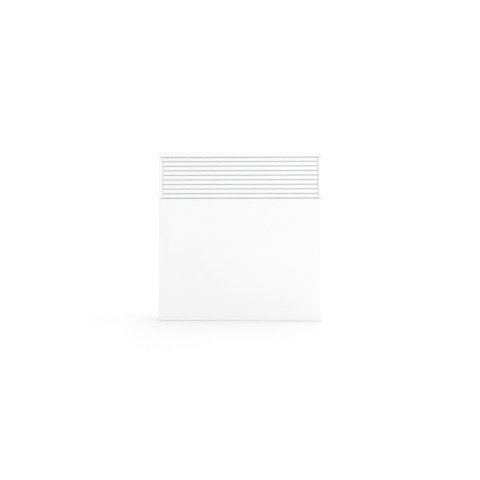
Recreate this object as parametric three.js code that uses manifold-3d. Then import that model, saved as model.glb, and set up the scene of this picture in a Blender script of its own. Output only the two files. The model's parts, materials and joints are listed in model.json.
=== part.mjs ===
// Wall panel convector heater: a folded steel casing that hangs on a wall bracket, with a louvred air outlet,
// an inlet grille below, a finned heating element and a recessed set of controls in the top.
// Millimetres. +Z is up, +X is to the right seen from the front, the front faces -Y, and the wall is y = 0.

import * as THREE from "three";
import { mergeVertices } from "three/addons/utils/BufferGeometryUtils.js";
import Module from "manifold-3d";

// Casing
const casingWidth = 424;
const casingHeight = 440;
const casingDepth = 78;
const wallStandOff = 20;
const sheet = 1.0;
const bendRadius = 2.5;
const fitGap = 0.3;
const returnDepth = 40;
const sideLap = 8;
const bandHeight = 15;
const topCornerRadius = 7;
const topEdgeRadius = 2;
const seamGap = 0.6;
const coverTabMargin = 62;
const coverTabWidth = 30;
const coverTabHeight = 10;
const hemDepth = 12;

// Louvred outlet
const sideMargin = 10.5;
const bladeCount = 9;
const bladePitch = 11.86;
const slitHeight = 2.9;
const topBladeHeight = 7.9;
const lastSeam = 1.9;
const bladeFlangeDepth = 5;
const bladeFlangeRise = 5;
const bladeBend = 1.3;
const bladeFaceInset = 0.2;
const cheekDepth = 18;
const railInset = 2;
const upperRailDepth = 6;

// Bottom edge and air inlet
const bottomReturn = 12;
const bottomUpstand = 6;
const inletFlange = 10;
const inletScrewMargin = 27;
const inletSlotCount = 32;
const inletSlotPitch = 12.5;
const inletSlotWidth = 5;
const inletSlotLength = 38;

// Wall bracket and the hooks that carry the heater
const bracketSheet = 1.5;
const channelOffset = 80;
const channelWidth = 36;
const channelTop = 140;
const channelBottom = -130;
const crossbarHeight = 50;
const crossbarFlange = 8;
const upperHookLevel = 118;
const lowerHookLevel = -102;
const hookArm = 6;
const hookRise = 10;
const hookTip = 6.5;
const hookThroat = 2.6;
const liftTravel = 12;
const slotWidth = 4.5;
const slotSpare = 1.2;
const wallHoleRadius = 3;
const wallHoleInset = 16;

// Sheets inside the casing
const thinSheet = 0.8;
const coolWidth = 108;
const partitionFlange = 6;
const partitionDepth = 56;
const partitionTopGap = 28;
const partitionRise = 16;
const shieldDepth = 12;
const shieldDrop = 41;
const shieldRise = 20;
const deflectorLap = 6;
const deflectorTopGap = 21;
const deflectorDepth = 13;
const deflectorReach = 44;
const deflectorRadius = 42;
const baffleGap = 10;
const baffleDrop = 27;
const baffleRise = 30;
const innerSideGap = 2;

// Heating element
const elementClearance = 27;
const elementRise = 80;
const elementMargin = 46;
const elementShare = 44;
const elementTubeRadius = 9;
const finLength = 31;
const finThickness = 2;
const finLean = 35;
const finSlotCount = 6;
const finSlotLength = 22;
const finSlotWidth = 8;
const rodRadius = 4;
const rodSpare = 24;
const bushNeckRadius = 6;
const bushFlangeRadius = 8.5;
const bushFlange = 3;
const elementBracketGap = 8;
const elementBracketSheet = 1.2;
const elementBracketHeight = 60;
const elementBracketReach = 48;
const elementFoot = 14;
const terminalLength = 9;
const terminalWidth = 6.3;
const cutoutInset = 40;
const cutoutRise = 80;
const cutoutRadius = 8;
const cutoutHeight = 8;
const cutoutPlate = 26;

// Controls
const trayMargin = 12;
const trayLength = 86;
const trayWidth = 44;
const trayBackMargin = 10;
const trayDepth = 15;
const trayFloor = 2;
const trayWall = 1.8;
const trayFlange = 5;
const knobInset = 24;
const knobRadius = 15;
const knobTopRadius = 12.5;
const knobHeight = 11;
const knobSkirt = 2;
const knobShoulder = 3;
const knobTaper = 1;
const knobPointer = 1;
const spindleRadius = 3;
const thermostatWidth = 34;
const thermostatHeight = 24;
const spindleEngagement = 11;
const switchInset = 58;
const switchWidth = 15.4;
const switchLength = 21.6;
const switchRim = 1.7;
const switchBodyHeight = 17;
const rockerWidth = 11.2;
const rockerLength = 17.2;
const rockerRise = 3.2;
const rockerTilt = 7;
const lensInset = 76;
const lensRadius = 3;
const lensStem = 10;
const lensDome = 1.2;

// Supply connection and leads
const glandMargin = 47;
const glandRise = 35;
const glandRadius = 7;
const glandBore = 3.6;
const glandOutside = 11;
const glandInside = 12;
const terminalBlockMargin = 62;
const terminalBlockRise = 70;
const earthOffset = 25;
const blockWidth = 32;
const blockHeight = 18;
const blockDepth = 16;
const blockWays = 3;
const wellRadius = 2.6;
const leadRadius = 1.2;
const leadSlack = 20;
const grommetRises = [50, 140];
const grommetOffset = 6;
const grommetNeck = 5;
const grommetRim = 7;
const grommetBore = 3;
const grommetRimThickness = 2;

// Room temperature sensor
const bulbMargin = 18;
const bulbOffset = 10;
const bulbTopRise = 110;
const bulbLength = 70;
const bulbRadius = 3.5;
const capillaryRadius = 0.8;
const clipHeight = 10;
const clipTab = 12;

// Screws
const screwRadius = 1.5;
const screwHeadRadius = 3;
const screwHead = 2;
const screwLength = 8;
const holeSpare = 0.4;

// Faces and edges that the sizes above give
const backFace = -wallStandOff;
const frontFace = backFace - casingDepth;
const halfWidth = casingWidth / 2;
const topEdge = casingHeight / 2;
const bottomEdge = -topEdge;
const bandBottom = topEdge - bandHeight;
const bladeHeight = bladePitch - slitHeight;
const topBladeEdge = bandBottom - slitHeight - topBladeHeight;
const lowestBlade = topBladeEdge - (bladeCount - 1) * bladePitch;
const panelTop = lowestBlade - lastSeam;
const outletHalfWidth = halfWidth - sideMargin;
const returnEdge = frontFace + returnDepth;
const housingHalfWidth = halfWidth - sheet - fitGap;
const housingInside = housingHalfWidth - sheet;
const flangeLevel = bottomEdge + bottomUpstand;
const backInside = backFace - sheet;
const innerBack = backInside - fitGap;
const shieldFace = innerBack - shieldDepth;
const deflectorBack = innerBack - deflectorDepth;
const partitionPlace = halfWidth - coolWidth;
const partitionFace = partitionPlace - fitGap;
const partitionTop = topEdge - partitionTopGap;
const partitionBottom = bottomEdge + partitionRise;
const shieldTop = panelTop - shieldDrop;
const shieldBottom = bottomEdge + shieldRise;
const deflectorFoot = shieldTop + deflectorLap;
const deflectorTop = topEdge - deflectorTopGap;
const baffleTop = panelTop - baffleDrop;
const baffleBottom = bottomEdge + baffleRise;
const elementPlaceY = shieldFace - elementClearance;
const elementPlaceZ = bottomEdge + elementRise;
const elementLeft = elementMargin - halfWidth;
const elementRight = partitionPlace - elementShare;
const cutoutPlaceX = elementRight - cutoutInset;
const cutoutPlaceZ = elementPlaceZ + cutoutRise;
const trayRight = halfWidth - trayMargin;
const trayLeft = trayRight - trayLength;
const trayRear = backFace - trayBackMargin;
const trayFront = trayRear - trayWidth;
const trayTop = topEdge - sheet - fitGap;
const trayFloorTop = topEdge - trayDepth;
const trayFloorBottom = trayFloorTop - trayFloor;
const trayMiddle = (trayFront + trayRear) / 2;
const knobPlaceX = trayLeft + knobInset;
const switchPlaceX = trayLeft + switchInset;
const lensPlaceX = trayLeft + lensInset;
const glandPlaceX = halfWidth - glandMargin;
const glandPlaceZ = bottomEdge + glandRise;
const terminalBlockPlaceX = halfWidth - terminalBlockMargin;
const terminalBlockPlaceZ = bottomEdge + terminalBlockRise;
const coverTabPlace = halfWidth - coverTabMargin;
const grommetLevels = grommetRises.map((rise) => bottomEdge + rise);
const grommetPlaceY = elementPlaceY - grommetOffset;
const bulbPlaceX = halfWidth - bulbMargin;
const bulbPlaceY = elementPlaceY - bulbOffset;
const bulbTop = bottomEdge + bulbTopRise;
const slotHeight = liftTravel + hookArm + slotSpare;
const hookPlace = channelOffset + channelWidth / 2 - bracketSheet / 2;
const bracketFront = backFace + fitGap;

const wasm = await Module();
wasm.setup();

const axisX = new THREE.Vector3(1, 0, 0);
const axisY = new THREE.Vector3(0, 1, 0);
const axisZ = new THREE.Vector3(0, 0, 1);

// Solids and meshes

function solidOf(geometry) {
  const plain = geometry.clone();
  plain.deleteAttribute("normal");
  plain.deleteAttribute("uv");
  const merged = mergeVertices(plain, 1e-4);
  const vertProperties = new Float32Array(merged.attributes.position.array);
  const triVerts = new Uint32Array(merged.index.array);
  return new wasm.Manifold(new wasm.Mesh({ numProp: 3, vertProperties, triVerts }));
}

function geometryOf(solid) {
  const mesh = solid.getMesh();
  const geometry = new THREE.BufferGeometry();
  geometry.setAttribute("position", new THREE.BufferAttribute(new Float32Array(mesh.vertProperties), 3));
  geometry.setIndex(new THREE.BufferAttribute(new Uint32Array(mesh.triVerts), 1));
  geometry.computeVertexNormals();
  return geometry;
}

function joined(...solids) {
  return solids.reduce((whole, solid) => whole.add(solid));
}

function cutBy(solid, ...tools) {
  return tools.reduce((left, tool) => left.subtract(tool), solid);
}

// A box between two opposite corners, given as ranges along X, Y and Z.
function block([x0, x1], [y0, y1], [z0, z1]) {
  const geometry = new THREE.BoxGeometry(Math.abs(x1 - x0), Math.abs(y1 - y0), Math.abs(z1 - z0));
  geometry.translate((x0 + x1) / 2, (y0 + y1) / 2, (z0 + z1) / 2);
  return solidOf(geometry);
}

// An outline drawn in the two axes after `axis` (YZ, ZX or XY) and pushed along `axis` between two places.
function extruded(shape, axis, from, to, bevel = {}) {
  const settings = { depth: to - from, bevelEnabled: false, curveSegments: 6, ...bevel };
  const geometry = new THREE.ExtrudeGeometry(shape, settings);
  const basis = new THREE.Matrix4();
  if (axis === axisX) {
    basis.makeBasis(axisY, axisZ, axisX);
  }
  if (axis === axisY) {
    basis.makeBasis(axisZ, axisX, axisY);
  }
  geometry.applyMatrix4(basis);
  geometry.translate(axis.x * from, axis.y * from, axis.z * from);
  return solidOf(geometry);
}

// A round bar along `axis` between two places on it, about a line through the point given.
function roundBar(axis, radius, [from, to], centre, sides = 16) {
  const geometry = new THREE.CylinderGeometry(radius, radius, Math.abs(to - from), sides);
  if (axis === axisX) {
    geometry.rotateZ(-Math.PI / 2);
  }
  if (axis === axisZ) {
    geometry.rotateX(Math.PI / 2);
  }
  const middle = (from + to) / 2;
  const place = axis.clone().multiplyScalar(middle).add(centre);
  geometry.translate(place.x, place.y, place.z);
  return solidOf(geometry);
}

function at(x, y, z) {
  return new THREE.Vector3(x, y, z);
}

// The outline of a folded sheet. `path` is its outer line, and the sheet lies to the left of its direction.
// `bends` holds the outside radius of each bend in turn, and the last one serves for those that follow.
function foldedSheet(path, thickness = sheet, bends = [bendRadius], steps = 4) {
  const outer = [];
  const inner = [];
  const corner = path.map(([u, v]) => new THREE.Vector2(u, v));
  const leftOf = (a, b) => b.clone().sub(a).normalize().rotateAround(new THREE.Vector2(), Math.PI / 2);
  const first = leftOf(corner[0], corner[1]);
  outer.push(corner[0]);
  inner.push(corner[0].clone().addScaledVector(first, thickness));
  for (let i = 1; i < corner.length - 1; i += 1) {
    const before = leftOf(corner[i - 1], corner[i]);
    const after = leftOf(corner[i], corner[i + 1]);
    const turn = Math.sign(before.cross(after));
    const radius = bends[Math.min(i, bends.length) - 1];
    const lineRadius = turn > 0 ? radius : Math.max(radius - thickness, thickness / 4);
    const middle = before.clone().add(after).multiplyScalar((turn * lineRadius) / (1 + before.dot(after)));
    const centre = corner[i].clone().add(middle);
    const start = before.clone().multiplyScalar(-turn);
    const sweep = Math.acos(THREE.MathUtils.clamp(before.dot(after), -1, 1)) * turn;
    for (let step = 0; step <= steps; step += 1) {
      const ray = start.clone().rotateAround(new THREE.Vector2(), (sweep * step) / steps);
      outer.push(centre.clone().addScaledVector(ray, lineRadius));
      inner.push(centre.clone().addScaledVector(ray, lineRadius - turn * thickness));
    }
  }
  const last = leftOf(corner[corner.length - 2], corner[corner.length - 1]);
  outer.push(corner[corner.length - 1]);
  inner.push(corner[corner.length - 1].clone().addScaledVector(last, thickness));
  return new THREE.Shape([...outer, ...inner.reverse()]);
}

// A tube along a smooth curve through points.
function tubeThrough(points, radius, sides = 6, stepsPerSpan = 4) {
  const section = new THREE.Shape();
  for (let side = 0; side < sides; side += 1) {
    const angle = (side * 2 * Math.PI) / sides;
    const place = [radius * Math.cos(angle), radius * Math.sin(angle)];
    if (side === 0) {
      section.moveTo(...place);
    } else {
      section.lineTo(...place);
    }
  }
  const curve = new THREE.CatmullRomCurve3(points, false, "catmullrom", 0.5);
  const steps = (points.length - 1) * stepsPerSpan;
  const geometry = new THREE.ExtrudeGeometry(section, { steps, bevelEnabled: false, extrudePath: curve });
  return solidOf(geometry);
}

// A smooth solid of revolution about a vertical axis, from a profile of radius and height.
function turned(profile, segments, centre) {
  const geometry = new THREE.LatheGeometry(profile.getPoints(4), segments);
  geometry.rotateX(Math.PI / 2);
  geometry.translate(centre.x, centre.y, centre.z);
  return solidOf(geometry);
}

// A pan-head screw along `axis`. `seat` is the face under its head, and it points in `heading`, +1 or -1.
function screwSolid(axis, seat, heading, centre) {
  const headEnd = seat - heading * screwHead;
  const shankEnd = seat + heading * screwLength;
  const overlap = seat - (heading * screwHead) / 2;
  const head = roundBar(axis, screwHeadRadius, [seat, headEnd], centre, 12);
  const shank = roundBar(axis, screwRadius, [overlap, shankEnd], centre, 8);
  return joined(head, shank);
}

function screwHole(axis, from, to, centre) {
  return roundBar(axis, screwRadius + holeSpare, [from, to], centre, 10);
}

const finishes = {
  whitePaint: { color: 0xf6f6f4, roughness: 0.45, metalness: 0.0 },
  galvanised: { color: 0xb9bcbf, roughness: 0.42, metalness: 0.85 },
  aluminium: { color: 0xc6c8ca, roughness: 0.35, metalness: 0.9 },
  steel: { color: 0xa4a6a8, roughness: 0.3, metalness: 0.95 },
  brass: { color: 0xc8a550, roughness: 0.35, metalness: 0.9 },
  ceramic: { color: 0xe9e4d8, roughness: 0.55, metalness: 0.0 },
  whitePlastic: { color: 0xf0f0ee, roughness: 0.4, metalness: 0.0 },
  greyPlastic: { color: 0x8f9397, roughness: 0.5, metalness: 0.0 },
  darkPlastic: { color: 0x26282b, roughness: 0.5, metalness: 0.0 },
  redLens: { color: 0xd8401e, roughness: 0.15, metalness: 0.0 },
  copper: { color: 0xb87348, roughness: 0.35, metalness: 0.9 },
  brownWire: { color: 0x6b4126, roughness: 0.55, metalness: 0.0 },
  blueWire: { color: 0x2f5fa8, roughness: 0.55, metalness: 0.0 },
  greenWire: { color: 0x6d9b34, roughness: 0.55, metalness: 0.0 },
  whiteWire: { color: 0xe6e4de, roughness: 0.6, metalness: 0.0 },
};

const heater = new THREE.Group();

function addPiece(name, solid, finish) {
  const mesh = new THREE.Mesh(geometryOf(solid), new THREE.MeshStandardMaterial(finishes[finish]));
  mesh.name = name;
  heater.add(mesh);
}

// The same solid on the other side of the plane x = 0.
function mirrored(solid) {
  const geometry = geometryOf(solid);
  geometry.deleteAttribute("normal");
  geometry.scale(-1, 1, 1);
  const index = geometry.index;
  for (let corner = 0; corner < index.count; corner += 3) {
    const first = index.getX(corner);
    index.setX(corner, index.getX(corner + 1));
    index.setX(corner + 1, first);
  }
  return solidOf(geometry);
}

// Wall bracket: two channels against the wall, a crossbar between them, and two hooks on each channel.

function hookEar(level) {
  const throat = bracketFront - hookThroat;
  const tip = throat - hookTip;
  const root = bracketFront + hookArm;
  const chamfer = hookTip / 4;
  const outline = new THREE.Shape([
    new THREE.Vector2(root, level - hookArm),
    new THREE.Vector2(root, level),
    new THREE.Vector2(throat, level),
    new THREE.Vector2(throat, level + hookRise - chamfer),
    new THREE.Vector2(throat - chamfer, level + hookRise),
    new THREE.Vector2(tip + chamfer, level + hookRise),
    new THREE.Vector2(tip, level + hookRise - chamfer),
    new THREE.Vector2(tip, level - hookArm + chamfer),
    new THREE.Vector2(tip + chamfer, level - hookArm),
  ]);
  return extruded(outline, axisX, hookPlace - bracketSheet / 2, hookPlace + bracketSheet / 2);
}

function bracketChannel() {
  const inner = channelOffset - channelWidth / 2;
  const outer = channelOffset + channelWidth / 2;
  const path = [[outer, bracketFront], [outer, 0], [inner, 0], [inner, bracketFront]];
  const section = foldedSheet(path, bracketSheet, [2 * bracketSheet]).getPoints();
  const upright = extruded(new THREE.Shape(section), axisZ, channelBottom, channelTop);
  const holes = [channelTop - wallHoleInset, channelBottom + wallHoleInset].map((level) =>
    roundBar(axisY, wallHoleRadius, [-2 * bracketSheet, bracketSheet], at(channelOffset, 0, level), 12)
  );
  return cutBy(joined(upright, hookEar(upperHookLevel), hookEar(lowerHookLevel)), ...holes);
}

function wallBracket() {
  const channel = bracketChannel();
  const reach = channelOffset - channelWidth / 2 + bracketSheet;
  const half = crossbarHeight / 2;
  const path = [[-crossbarFlange, half], [0, half], [0, -half], [-crossbarFlange, -half]];
  const section = foldedSheet(path.reverse(), bracketSheet, [2 * bracketSheet]);
  const crossbar = extruded(section, axisX, -reach, reach);
  return joined(channel, mirrored(channel), crossbar);
}

// Rear housing: a shallow pan with a bottom flange for the inlet grille and two tabs for the cover.

function hookSlot(level) {
  const top = level + fitGap;
  return block(
    [hookPlace - slotWidth / 2, hookPlace + slotWidth / 2],
    [backInside - sheet, backFace + sheet],
    [top - slotHeight, top]
  );
}

const coverScrewLevel = bandBottom + coverTabHeight / 2;
const housingTop = bandBottom - fitGap;

function coverTab() {
  const across = [coverTabPlace - coverTabWidth / 2, coverTabPlace + coverTabWidth / 2];
  const shelfTop = housingTop - sheet;
  const shelfBottom = shelfTop - sheet;
  const shelf = block(across, [innerBack - sheet, backInside + sheet / 2], [shelfBottom, shelfTop]);
  const upstand = block(across, [innerBack - sheet, innerBack], [shelfBottom, bandBottom + coverTabHeight]);
  const centre = at(coverTabPlace, 0, coverScrewLevel);
  const hole = screwHole(axisY, innerBack - 2 * sheet, innerBack + sheet, centre);
  return cutBy(joined(shelf, upstand), hole);
}

const inletScrewPlaceX = halfWidth - inletScrewMargin;
const inletRearScrewY = innerBack - inletFlange / 2;
const inletFrontScrewY = frontFace + bottomReturn + inletFlange / 2;

function inletScrewHole(placeX, placeY) {
  return screwHole(axisZ, flangeLevel - 4 * sheet, flangeLevel + 4 * sheet, at(placeX, placeY, 0));
}

function rearHousing() {
  const wallFront = returnEdge - sideLap;
  const path = [
    [housingHalfWidth, wallFront],
    [housingHalfWidth, backFace],
    [-housingHalfWidth, backFace],
    [-housingHalfWidth, wallFront],
  ];
  const pan = extruded(foldedSheet(path), axisZ, flangeLevel - sheet, housingTop);
  const flange = block(
    [bendRadius - housingHalfWidth, housingHalfWidth - bendRadius],
    [innerBack - inletFlange, backInside + sheet / 2],
    [flangeLevel - sheet, flangeLevel]
  );
  const tab = coverTab();
  const slots = [hookSlot(upperHookLevel), hookSlot(lowerHookLevel)];
  const glandHole = roundBar(
    axisY,
    glandRadius + holeSpare,
    [backInside - sheet, 0],
    at(glandPlaceX, 0, glandPlaceZ),
    20
  );
  const flangeHoles = [-inletScrewPlaceX, inletScrewPlaceX].map((x) => inletScrewHole(x, inletRearScrewY));
  const whole = joined(pan, flange, tab, mirrored(tab));
  return cutBy(whole, ...slots, ...slots.map(mirrored), glandHole, earthHole(), ...flangeHoles);
}

// Front panel: a sheet folded back at both sides, hemmed at the top and folded into a channel at the bottom.

function frontPanel() {
  const path = [
    [-halfWidth, returnEdge],
    [-halfWidth, frontFace],
    [halfWidth, frontFace],
    [halfWidth, returnEdge],
  ];
  const face = extruded(foldedSheet(path), axisZ, bottomEdge, panelTop);
  const inside = halfWidth - 2 * bendRadius;
  const overlap = frontFace + sheet / 2;
  const hemTop = panelTop - sheet / 2;
  const hem = block([-inside, inside], [frontFace + hemDepth, overlap], [hemTop - sheet, hemTop]);
  const upstandFace = frontFace + bottomReturn;
  const lowerEdge = foldedSheet(
    [
      [overlap, bottomEdge],
      [upstandFace, bottomEdge],
      [upstandFace, flangeLevel - sheet],
      [upstandFace + inletFlange, flangeLevel - sheet],
    ],
    sheet,
    [sheet * 1.5]
  );
  const channel = extruded(lowerEdge, axisX, -inside, inside);
  const holes = [-inletScrewPlaceX, inletScrewPlaceX].map((x) => inletScrewHole(x, inletFrontScrewY));
  return cutBy(joined(face, hem, channel), ...holes);
}

// Outlet frame: a folded margin and cheek at both ends of the louvres, tied by a rail above and a rail below.

function outletFrame() {
  const low = panelTop + seamGap;
  const high = bandBottom - seamGap;
  const cheekEdge = frontFace + cheekDepth;
  const path = [
    [-halfWidth, returnEdge],
    [-halfWidth, frontFace],
    [-outletHalfWidth, frontFace],
    [-outletHalfWidth, cheekEdge],
  ];
  const margin = extruded(foldedSheet(path), axisZ, low, high);
  const across = [-outletHalfWidth - sheet / 2, outletHalfWidth + sheet / 2];
  const lowerRail = block(across, [frontFace + railInset, cheekEdge], [low, low + sheet]);
  const upperRail = block(across, [cheekEdge - upperRailDepth, cheekEdge], [high - sheet, high]);
  return joined(margin, mirrored(margin), lowerRail, upperRail);
}

// A louvre blade is a flat strip whose upper edge is folded back and up, behind the slit above it.
// The top one is less high.

function louvreBlade(index) {
  const height = index === 0 ? topBladeHeight : bladeHeight;
  const bottom = topBladeEdge - index * bladePitch;
  const top = bottom + height;
  const face = frontFace + bladeFaceInset;
  const path = [
    [face + bladeFlangeDepth, top + bladeFlangeRise],
    [face, top],
    [face, bottom],
  ];
  const reach = outletHalfWidth - fitGap;
  return extruded(foldedSheet(path, sheet, [bladeBend]), axisX, -reach, reach);
}

// Top cover: a cap with rounded ends that closes the casing, with an opening for the controls.

function coverOutline(half, top, radius, low) {
  const outline = new THREE.Shape();
  outline.moveTo(low, -half);
  outline.lineTo(low, half);
  outline.lineTo(top - radius, half);
  outline.absarc(top - radius, half - radius, radius, Math.PI / 2, 0, true);
  outline.lineTo(top, -half + radius);
  outline.absarc(top - radius, -half + radius, radius, 0, -Math.PI / 2, true);
  return outline;
}

function topCover() {
  const skirt = 4 * topEdgeRadius;
  const rounded = {
    bevelEnabled: true,
    bevelThickness: topEdgeRadius,
    bevelSize: topEdgeRadius,
    bevelOffset: -topEdgeRadius,
    bevelSegments: 3,
  };
  const outline = coverOutline(halfWidth, topEdge, topCornerRadius, bandBottom - skirt);
  const outer = extruded(outline, axisY, frontFace + topEdgeRadius, backFace - topEdgeRadius, rounded);
  const low = bandBottom - 2 * skirt;
  const hollowOutline = coverOutline(halfWidth - sheet, topEdge - sheet, topCornerRadius - sheet, low);
  const hollow = extruded(hollowOutline, axisY, frontFace + sheet, backInside);
  const below = block(
    [-casingWidth, casingWidth],
    [frontFace - sheet, backFace + sheet],
    [low, bandBottom]
  );
  const through = [topEdge - 2 * topEdgeRadius, topEdge + sheet];
  const opening = block([trayLeft, trayRight], [trayFront, trayRear], through);
  const holes = [-coverTabPlace, coverTabPlace].map((x) =>
    screwHole(axisY, backInside - sheet, backFace + sheet, at(x, 0, coverScrewLevel))
  );
  return cutBy(outer, hollow, below, opening, ...holes);
}

// Inlet grille: a slotted plate that ties the front panel's lower channel to the rear housing.

function inletGrille() {
  const level = flangeLevel + fitGap;
  const front = frontFace + bottomReturn + fitGap;
  const half = housingInside - bendRadius;
  const plate = block([-half, half], [front, innerBack], [level, level + sheet]);
  const middle = (front + innerBack) / 2;
  const slots = [];
  for (let slot = 0; slot < inletSlotCount; slot += 1) {
    const place = (slot - (inletSlotCount - 1) / 2) * inletSlotPitch;
    slots.push(
      block(
        [place - inletSlotWidth / 2, place + inletSlotWidth / 2],
        [middle - inletSlotLength / 2, middle + inletSlotLength / 2],
        [level - sheet, level + 2 * sheet]
      )
    );
  }
  const holes = [];
  for (const x of [-inletScrewPlaceX, inletScrewPlaceX]) {
    for (const y of [inletFrontScrewY, inletRearScrewY]) {
      holes.push(inletScrewHole(x, y));
    }
  }
  return cutBy(plate, ...slots, ...holes);
}

function addCasing() {
  addPiece("wall_bracket", wallBracket(), "galvanised");
  addPiece("rear_housing", rearHousing(), "whitePaint");
  addPiece("front_panel", frontPanel(), "whitePaint");
  addPiece("outlet_frame", outletFrame(), "whitePaint");
  for (let index = 0; index < bladeCount; index += 1) {
    addPiece(`louvre_blade_${index + 1}`, louvreBlade(index), "whitePaint");
  }
  addPiece("top_cover", topCover(), "whitePaint");
  addPiece("inlet_grille", inletGrille(), "galvanised");
  for (const [side, name] of [[-1, "left"], [1, "right"]]) {
    const coverPlace = at(side * coverTabPlace, 0, coverScrewLevel);
    addPiece(`cover_screw_${name}`, screwSolid(axisY, backFace + fitGap, -1, coverPlace), "steel");
    for (const [placeY, row] of [[inletFrontScrewY, "front"], [inletRearScrewY, "rear"]]) {
      const place = at(side * inletScrewPlaceX, placeY, 0);
      const screw = screwSolid(axisZ, flangeLevel - sheet - fitGap, 1, place);
      addPiece(`inlet_screw_${row}_${name}`, screw, "steel");
    }
  }
}

// Sheets inside the casing. All of them stop short of the side walls and of the partition.

const ductLeft = -housingInside + innerSideGap;

function controlPartition() {
  const path = [
    [partitionPlace + partitionFlange, innerBack],
    [partitionPlace, innerBack],
    [partitionPlace, innerBack - partitionDepth],
  ];
  const plate = extruded(foldedSheet(path, thinSheet, [thinSheet * 2]), axisZ, partitionBottom, partitionTop);
  const holes = grommetLevels.map((level) =>
    roundBar(
      axisX,
      grommetNeck + fitGap,
      [partitionPlace - sheet, partitionPlace + 2 * sheet],
      at(0, grommetPlaceY, level),
      12
    )
  );
  return cutBy(plate, ...holes);
}

function heatShield() {
  const path = [
    [innerBack, shieldTop],
    [shieldFace, shieldTop],
    [shieldFace, shieldBottom],
    [innerBack, shieldBottom],
  ];
  const plate = extruded(foldedSheet(path, thinSheet), axisX, ductLeft, partitionFace);
  const holes = elementSides.map((side) =>
    screwHole(axisY, shieldFace - sheet, shieldFace + 2 * sheet, at(footPlace(side), 0, footScrewLevel))
  );
  return cutBy(plate, ...holes);
}

function airDeflector() {
  const path = [
    [innerBack, deflectorFoot],
    [deflectorBack, deflectorFoot],
    [deflectorBack, deflectorTop],
    [deflectorBack - deflectorReach, deflectorTop],
  ];
  const bends = [bendRadius, deflectorRadius];
  return extruded(foldedSheet(path, thinSheet, bends, 8), axisX, ductLeft, partitionFace);
}

function frontBaffle() {
  const rear = frontFace + baffleGap;
  const front = frontFace + sheet + fitGap;
  const path = [
    [front, baffleBottom],
    [rear, baffleBottom],
    [rear, baffleTop],
    [front, baffleTop],
  ];
  return extruded(foldedSheet(path, thinSheet), axisX, ductLeft, partitionFace);
}

// Heating element: a sheathed rod in a finned aluminium extrusion, held at both ends by a bracket and a bush.

const elementSides = [-1, 1];
const elementAxis = at(0, elementPlaceY, elementPlaceZ);
const footScrewLevel = elementPlaceZ + elementBracketHeight / 3;
const boreRadius = rodRadius + fitGap;

function elementEnd(side) {
  return side < 0 ? elementLeft : elementRight;
}

// The face of an element bracket that looks towards the extrusion.
function bracketFace(side) {
  return elementEnd(side) + side * elementBracketGap;
}

function footPlace(side) {
  return bracketFace(side) + (side * elementFoot) / 2;
}

function rodEnd(side) {
  return elementEnd(side) + side * rodSpare;
}

function finBlade(lean) {
  const geometry = new THREE.BoxGeometry(elementRight - elementLeft, finThickness, finLength);
  geometry.translate(0, 0, finLength / 2);
  geometry.rotateX(THREE.MathUtils.degToRad(lean));
  geometry.translate((elementLeft + elementRight) / 2, elementPlaceY, elementPlaceZ);
  return solidOf(geometry);
}

function finSlot(lean, place) {
  const geometry = new THREE.BoxGeometry(finSlotLength, 3 * finThickness, finSlotWidth);
  geometry.translate(0, 0, (finLength + elementTubeRadius) / 2);
  geometry.rotateX(THREE.MathUtils.degToRad(lean));
  geometry.translate(place, elementPlaceY, elementPlaceZ);
  return solidOf(geometry);
}

function heatingElement() {
  const leans = [finLean, -finLean, 180 - finLean, 180 + finLean];
  const tube = roundBar(axisX, elementTubeRadius, [elementLeft, elementRight], elementAxis, 16);
  const bore = roundBar(axisX, boreRadius, [elementLeft - sheet, elementRight + sheet], elementAxis, 12);
  const pitch = (elementRight - elementLeft) / finSlotCount;
  const slots = [];
  for (const lean of leans) {
    for (let slot = 0; slot < finSlotCount; slot += 1) {
      slots.push(finSlot(lean, elementLeft + (slot + 0.5) * pitch));
    }
  }
  return cutBy(joined(tube, ...leans.map(finBlade)), bore, ...slots);
}

function heaterRod() {
  return roundBar(axisX, rodRadius, [rodEnd(-1), rodEnd(1)], elementAxis, 12);
}

function elementBracket(side) {
  const face = bracketFace(side);
  const rear = shieldFace - fitGap;
  const across = [face, face + side * elementBracketSheet];
  const levels = [elementPlaceZ - elementBracketHeight / 2, elementPlaceZ + elementBracketHeight / 2];
  const web = block(across, [rear, rear - elementBracketReach], levels);
  const foot = block([face, face + side * elementFoot], [rear, rear - elementBracketSheet], levels);
  const hole = roundBar(
    axisX,
    bushNeckRadius + fitGap,
    [face - elementFoot, face + elementFoot],
    elementAxis,
    16
  );
  const screw = screwHole(axisY, rear - 2 * sheet, rear + sheet, at(footPlace(side), 0, footScrewLevel));
  return cutBy(joined(web, foot), hole, screw);
}

function elementBush(side) {
  const face = bracketFace(side);
  const outside = face + side * (elementBracketSheet + fitGap);
  const flangeEnd = outside + side * bushFlange;
  const neckEnd = face - side * bushFlange;
  const flange = roundBar(axisX, bushFlangeRadius, [outside, flangeEnd], elementAxis, 16);
  const neck = roundBar(axisX, bushNeckRadius, [neckEnd, flangeEnd], elementAxis, 16);
  const bore = roundBar(axisX, boreRadius, [face - 4 * bushFlange, face + 4 * bushFlange], elementAxis, 12);
  return cutBy(joined(flange, neck), bore);
}

function elementTerminal(side) {
  const start = rodEnd(side) + side * fitGap;
  const nutEnd = start + (side * terminalLength) / 3;
  const tabEnd = start + side * terminalLength;
  const nut = roundBar(axisX, rodRadius, [start, nutEnd], elementAxis, 6);
  const tab = block(
    [start + (side * terminalLength) / 6, tabEnd],
    [elementPlaceY - terminalWidth / 2, elementPlaceY + terminalWidth / 2],
    [elementPlaceZ - thinSheet / 2, elementPlaceZ + thinSheet / 2]
  );
  return joined(nut, tab);
}

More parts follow.
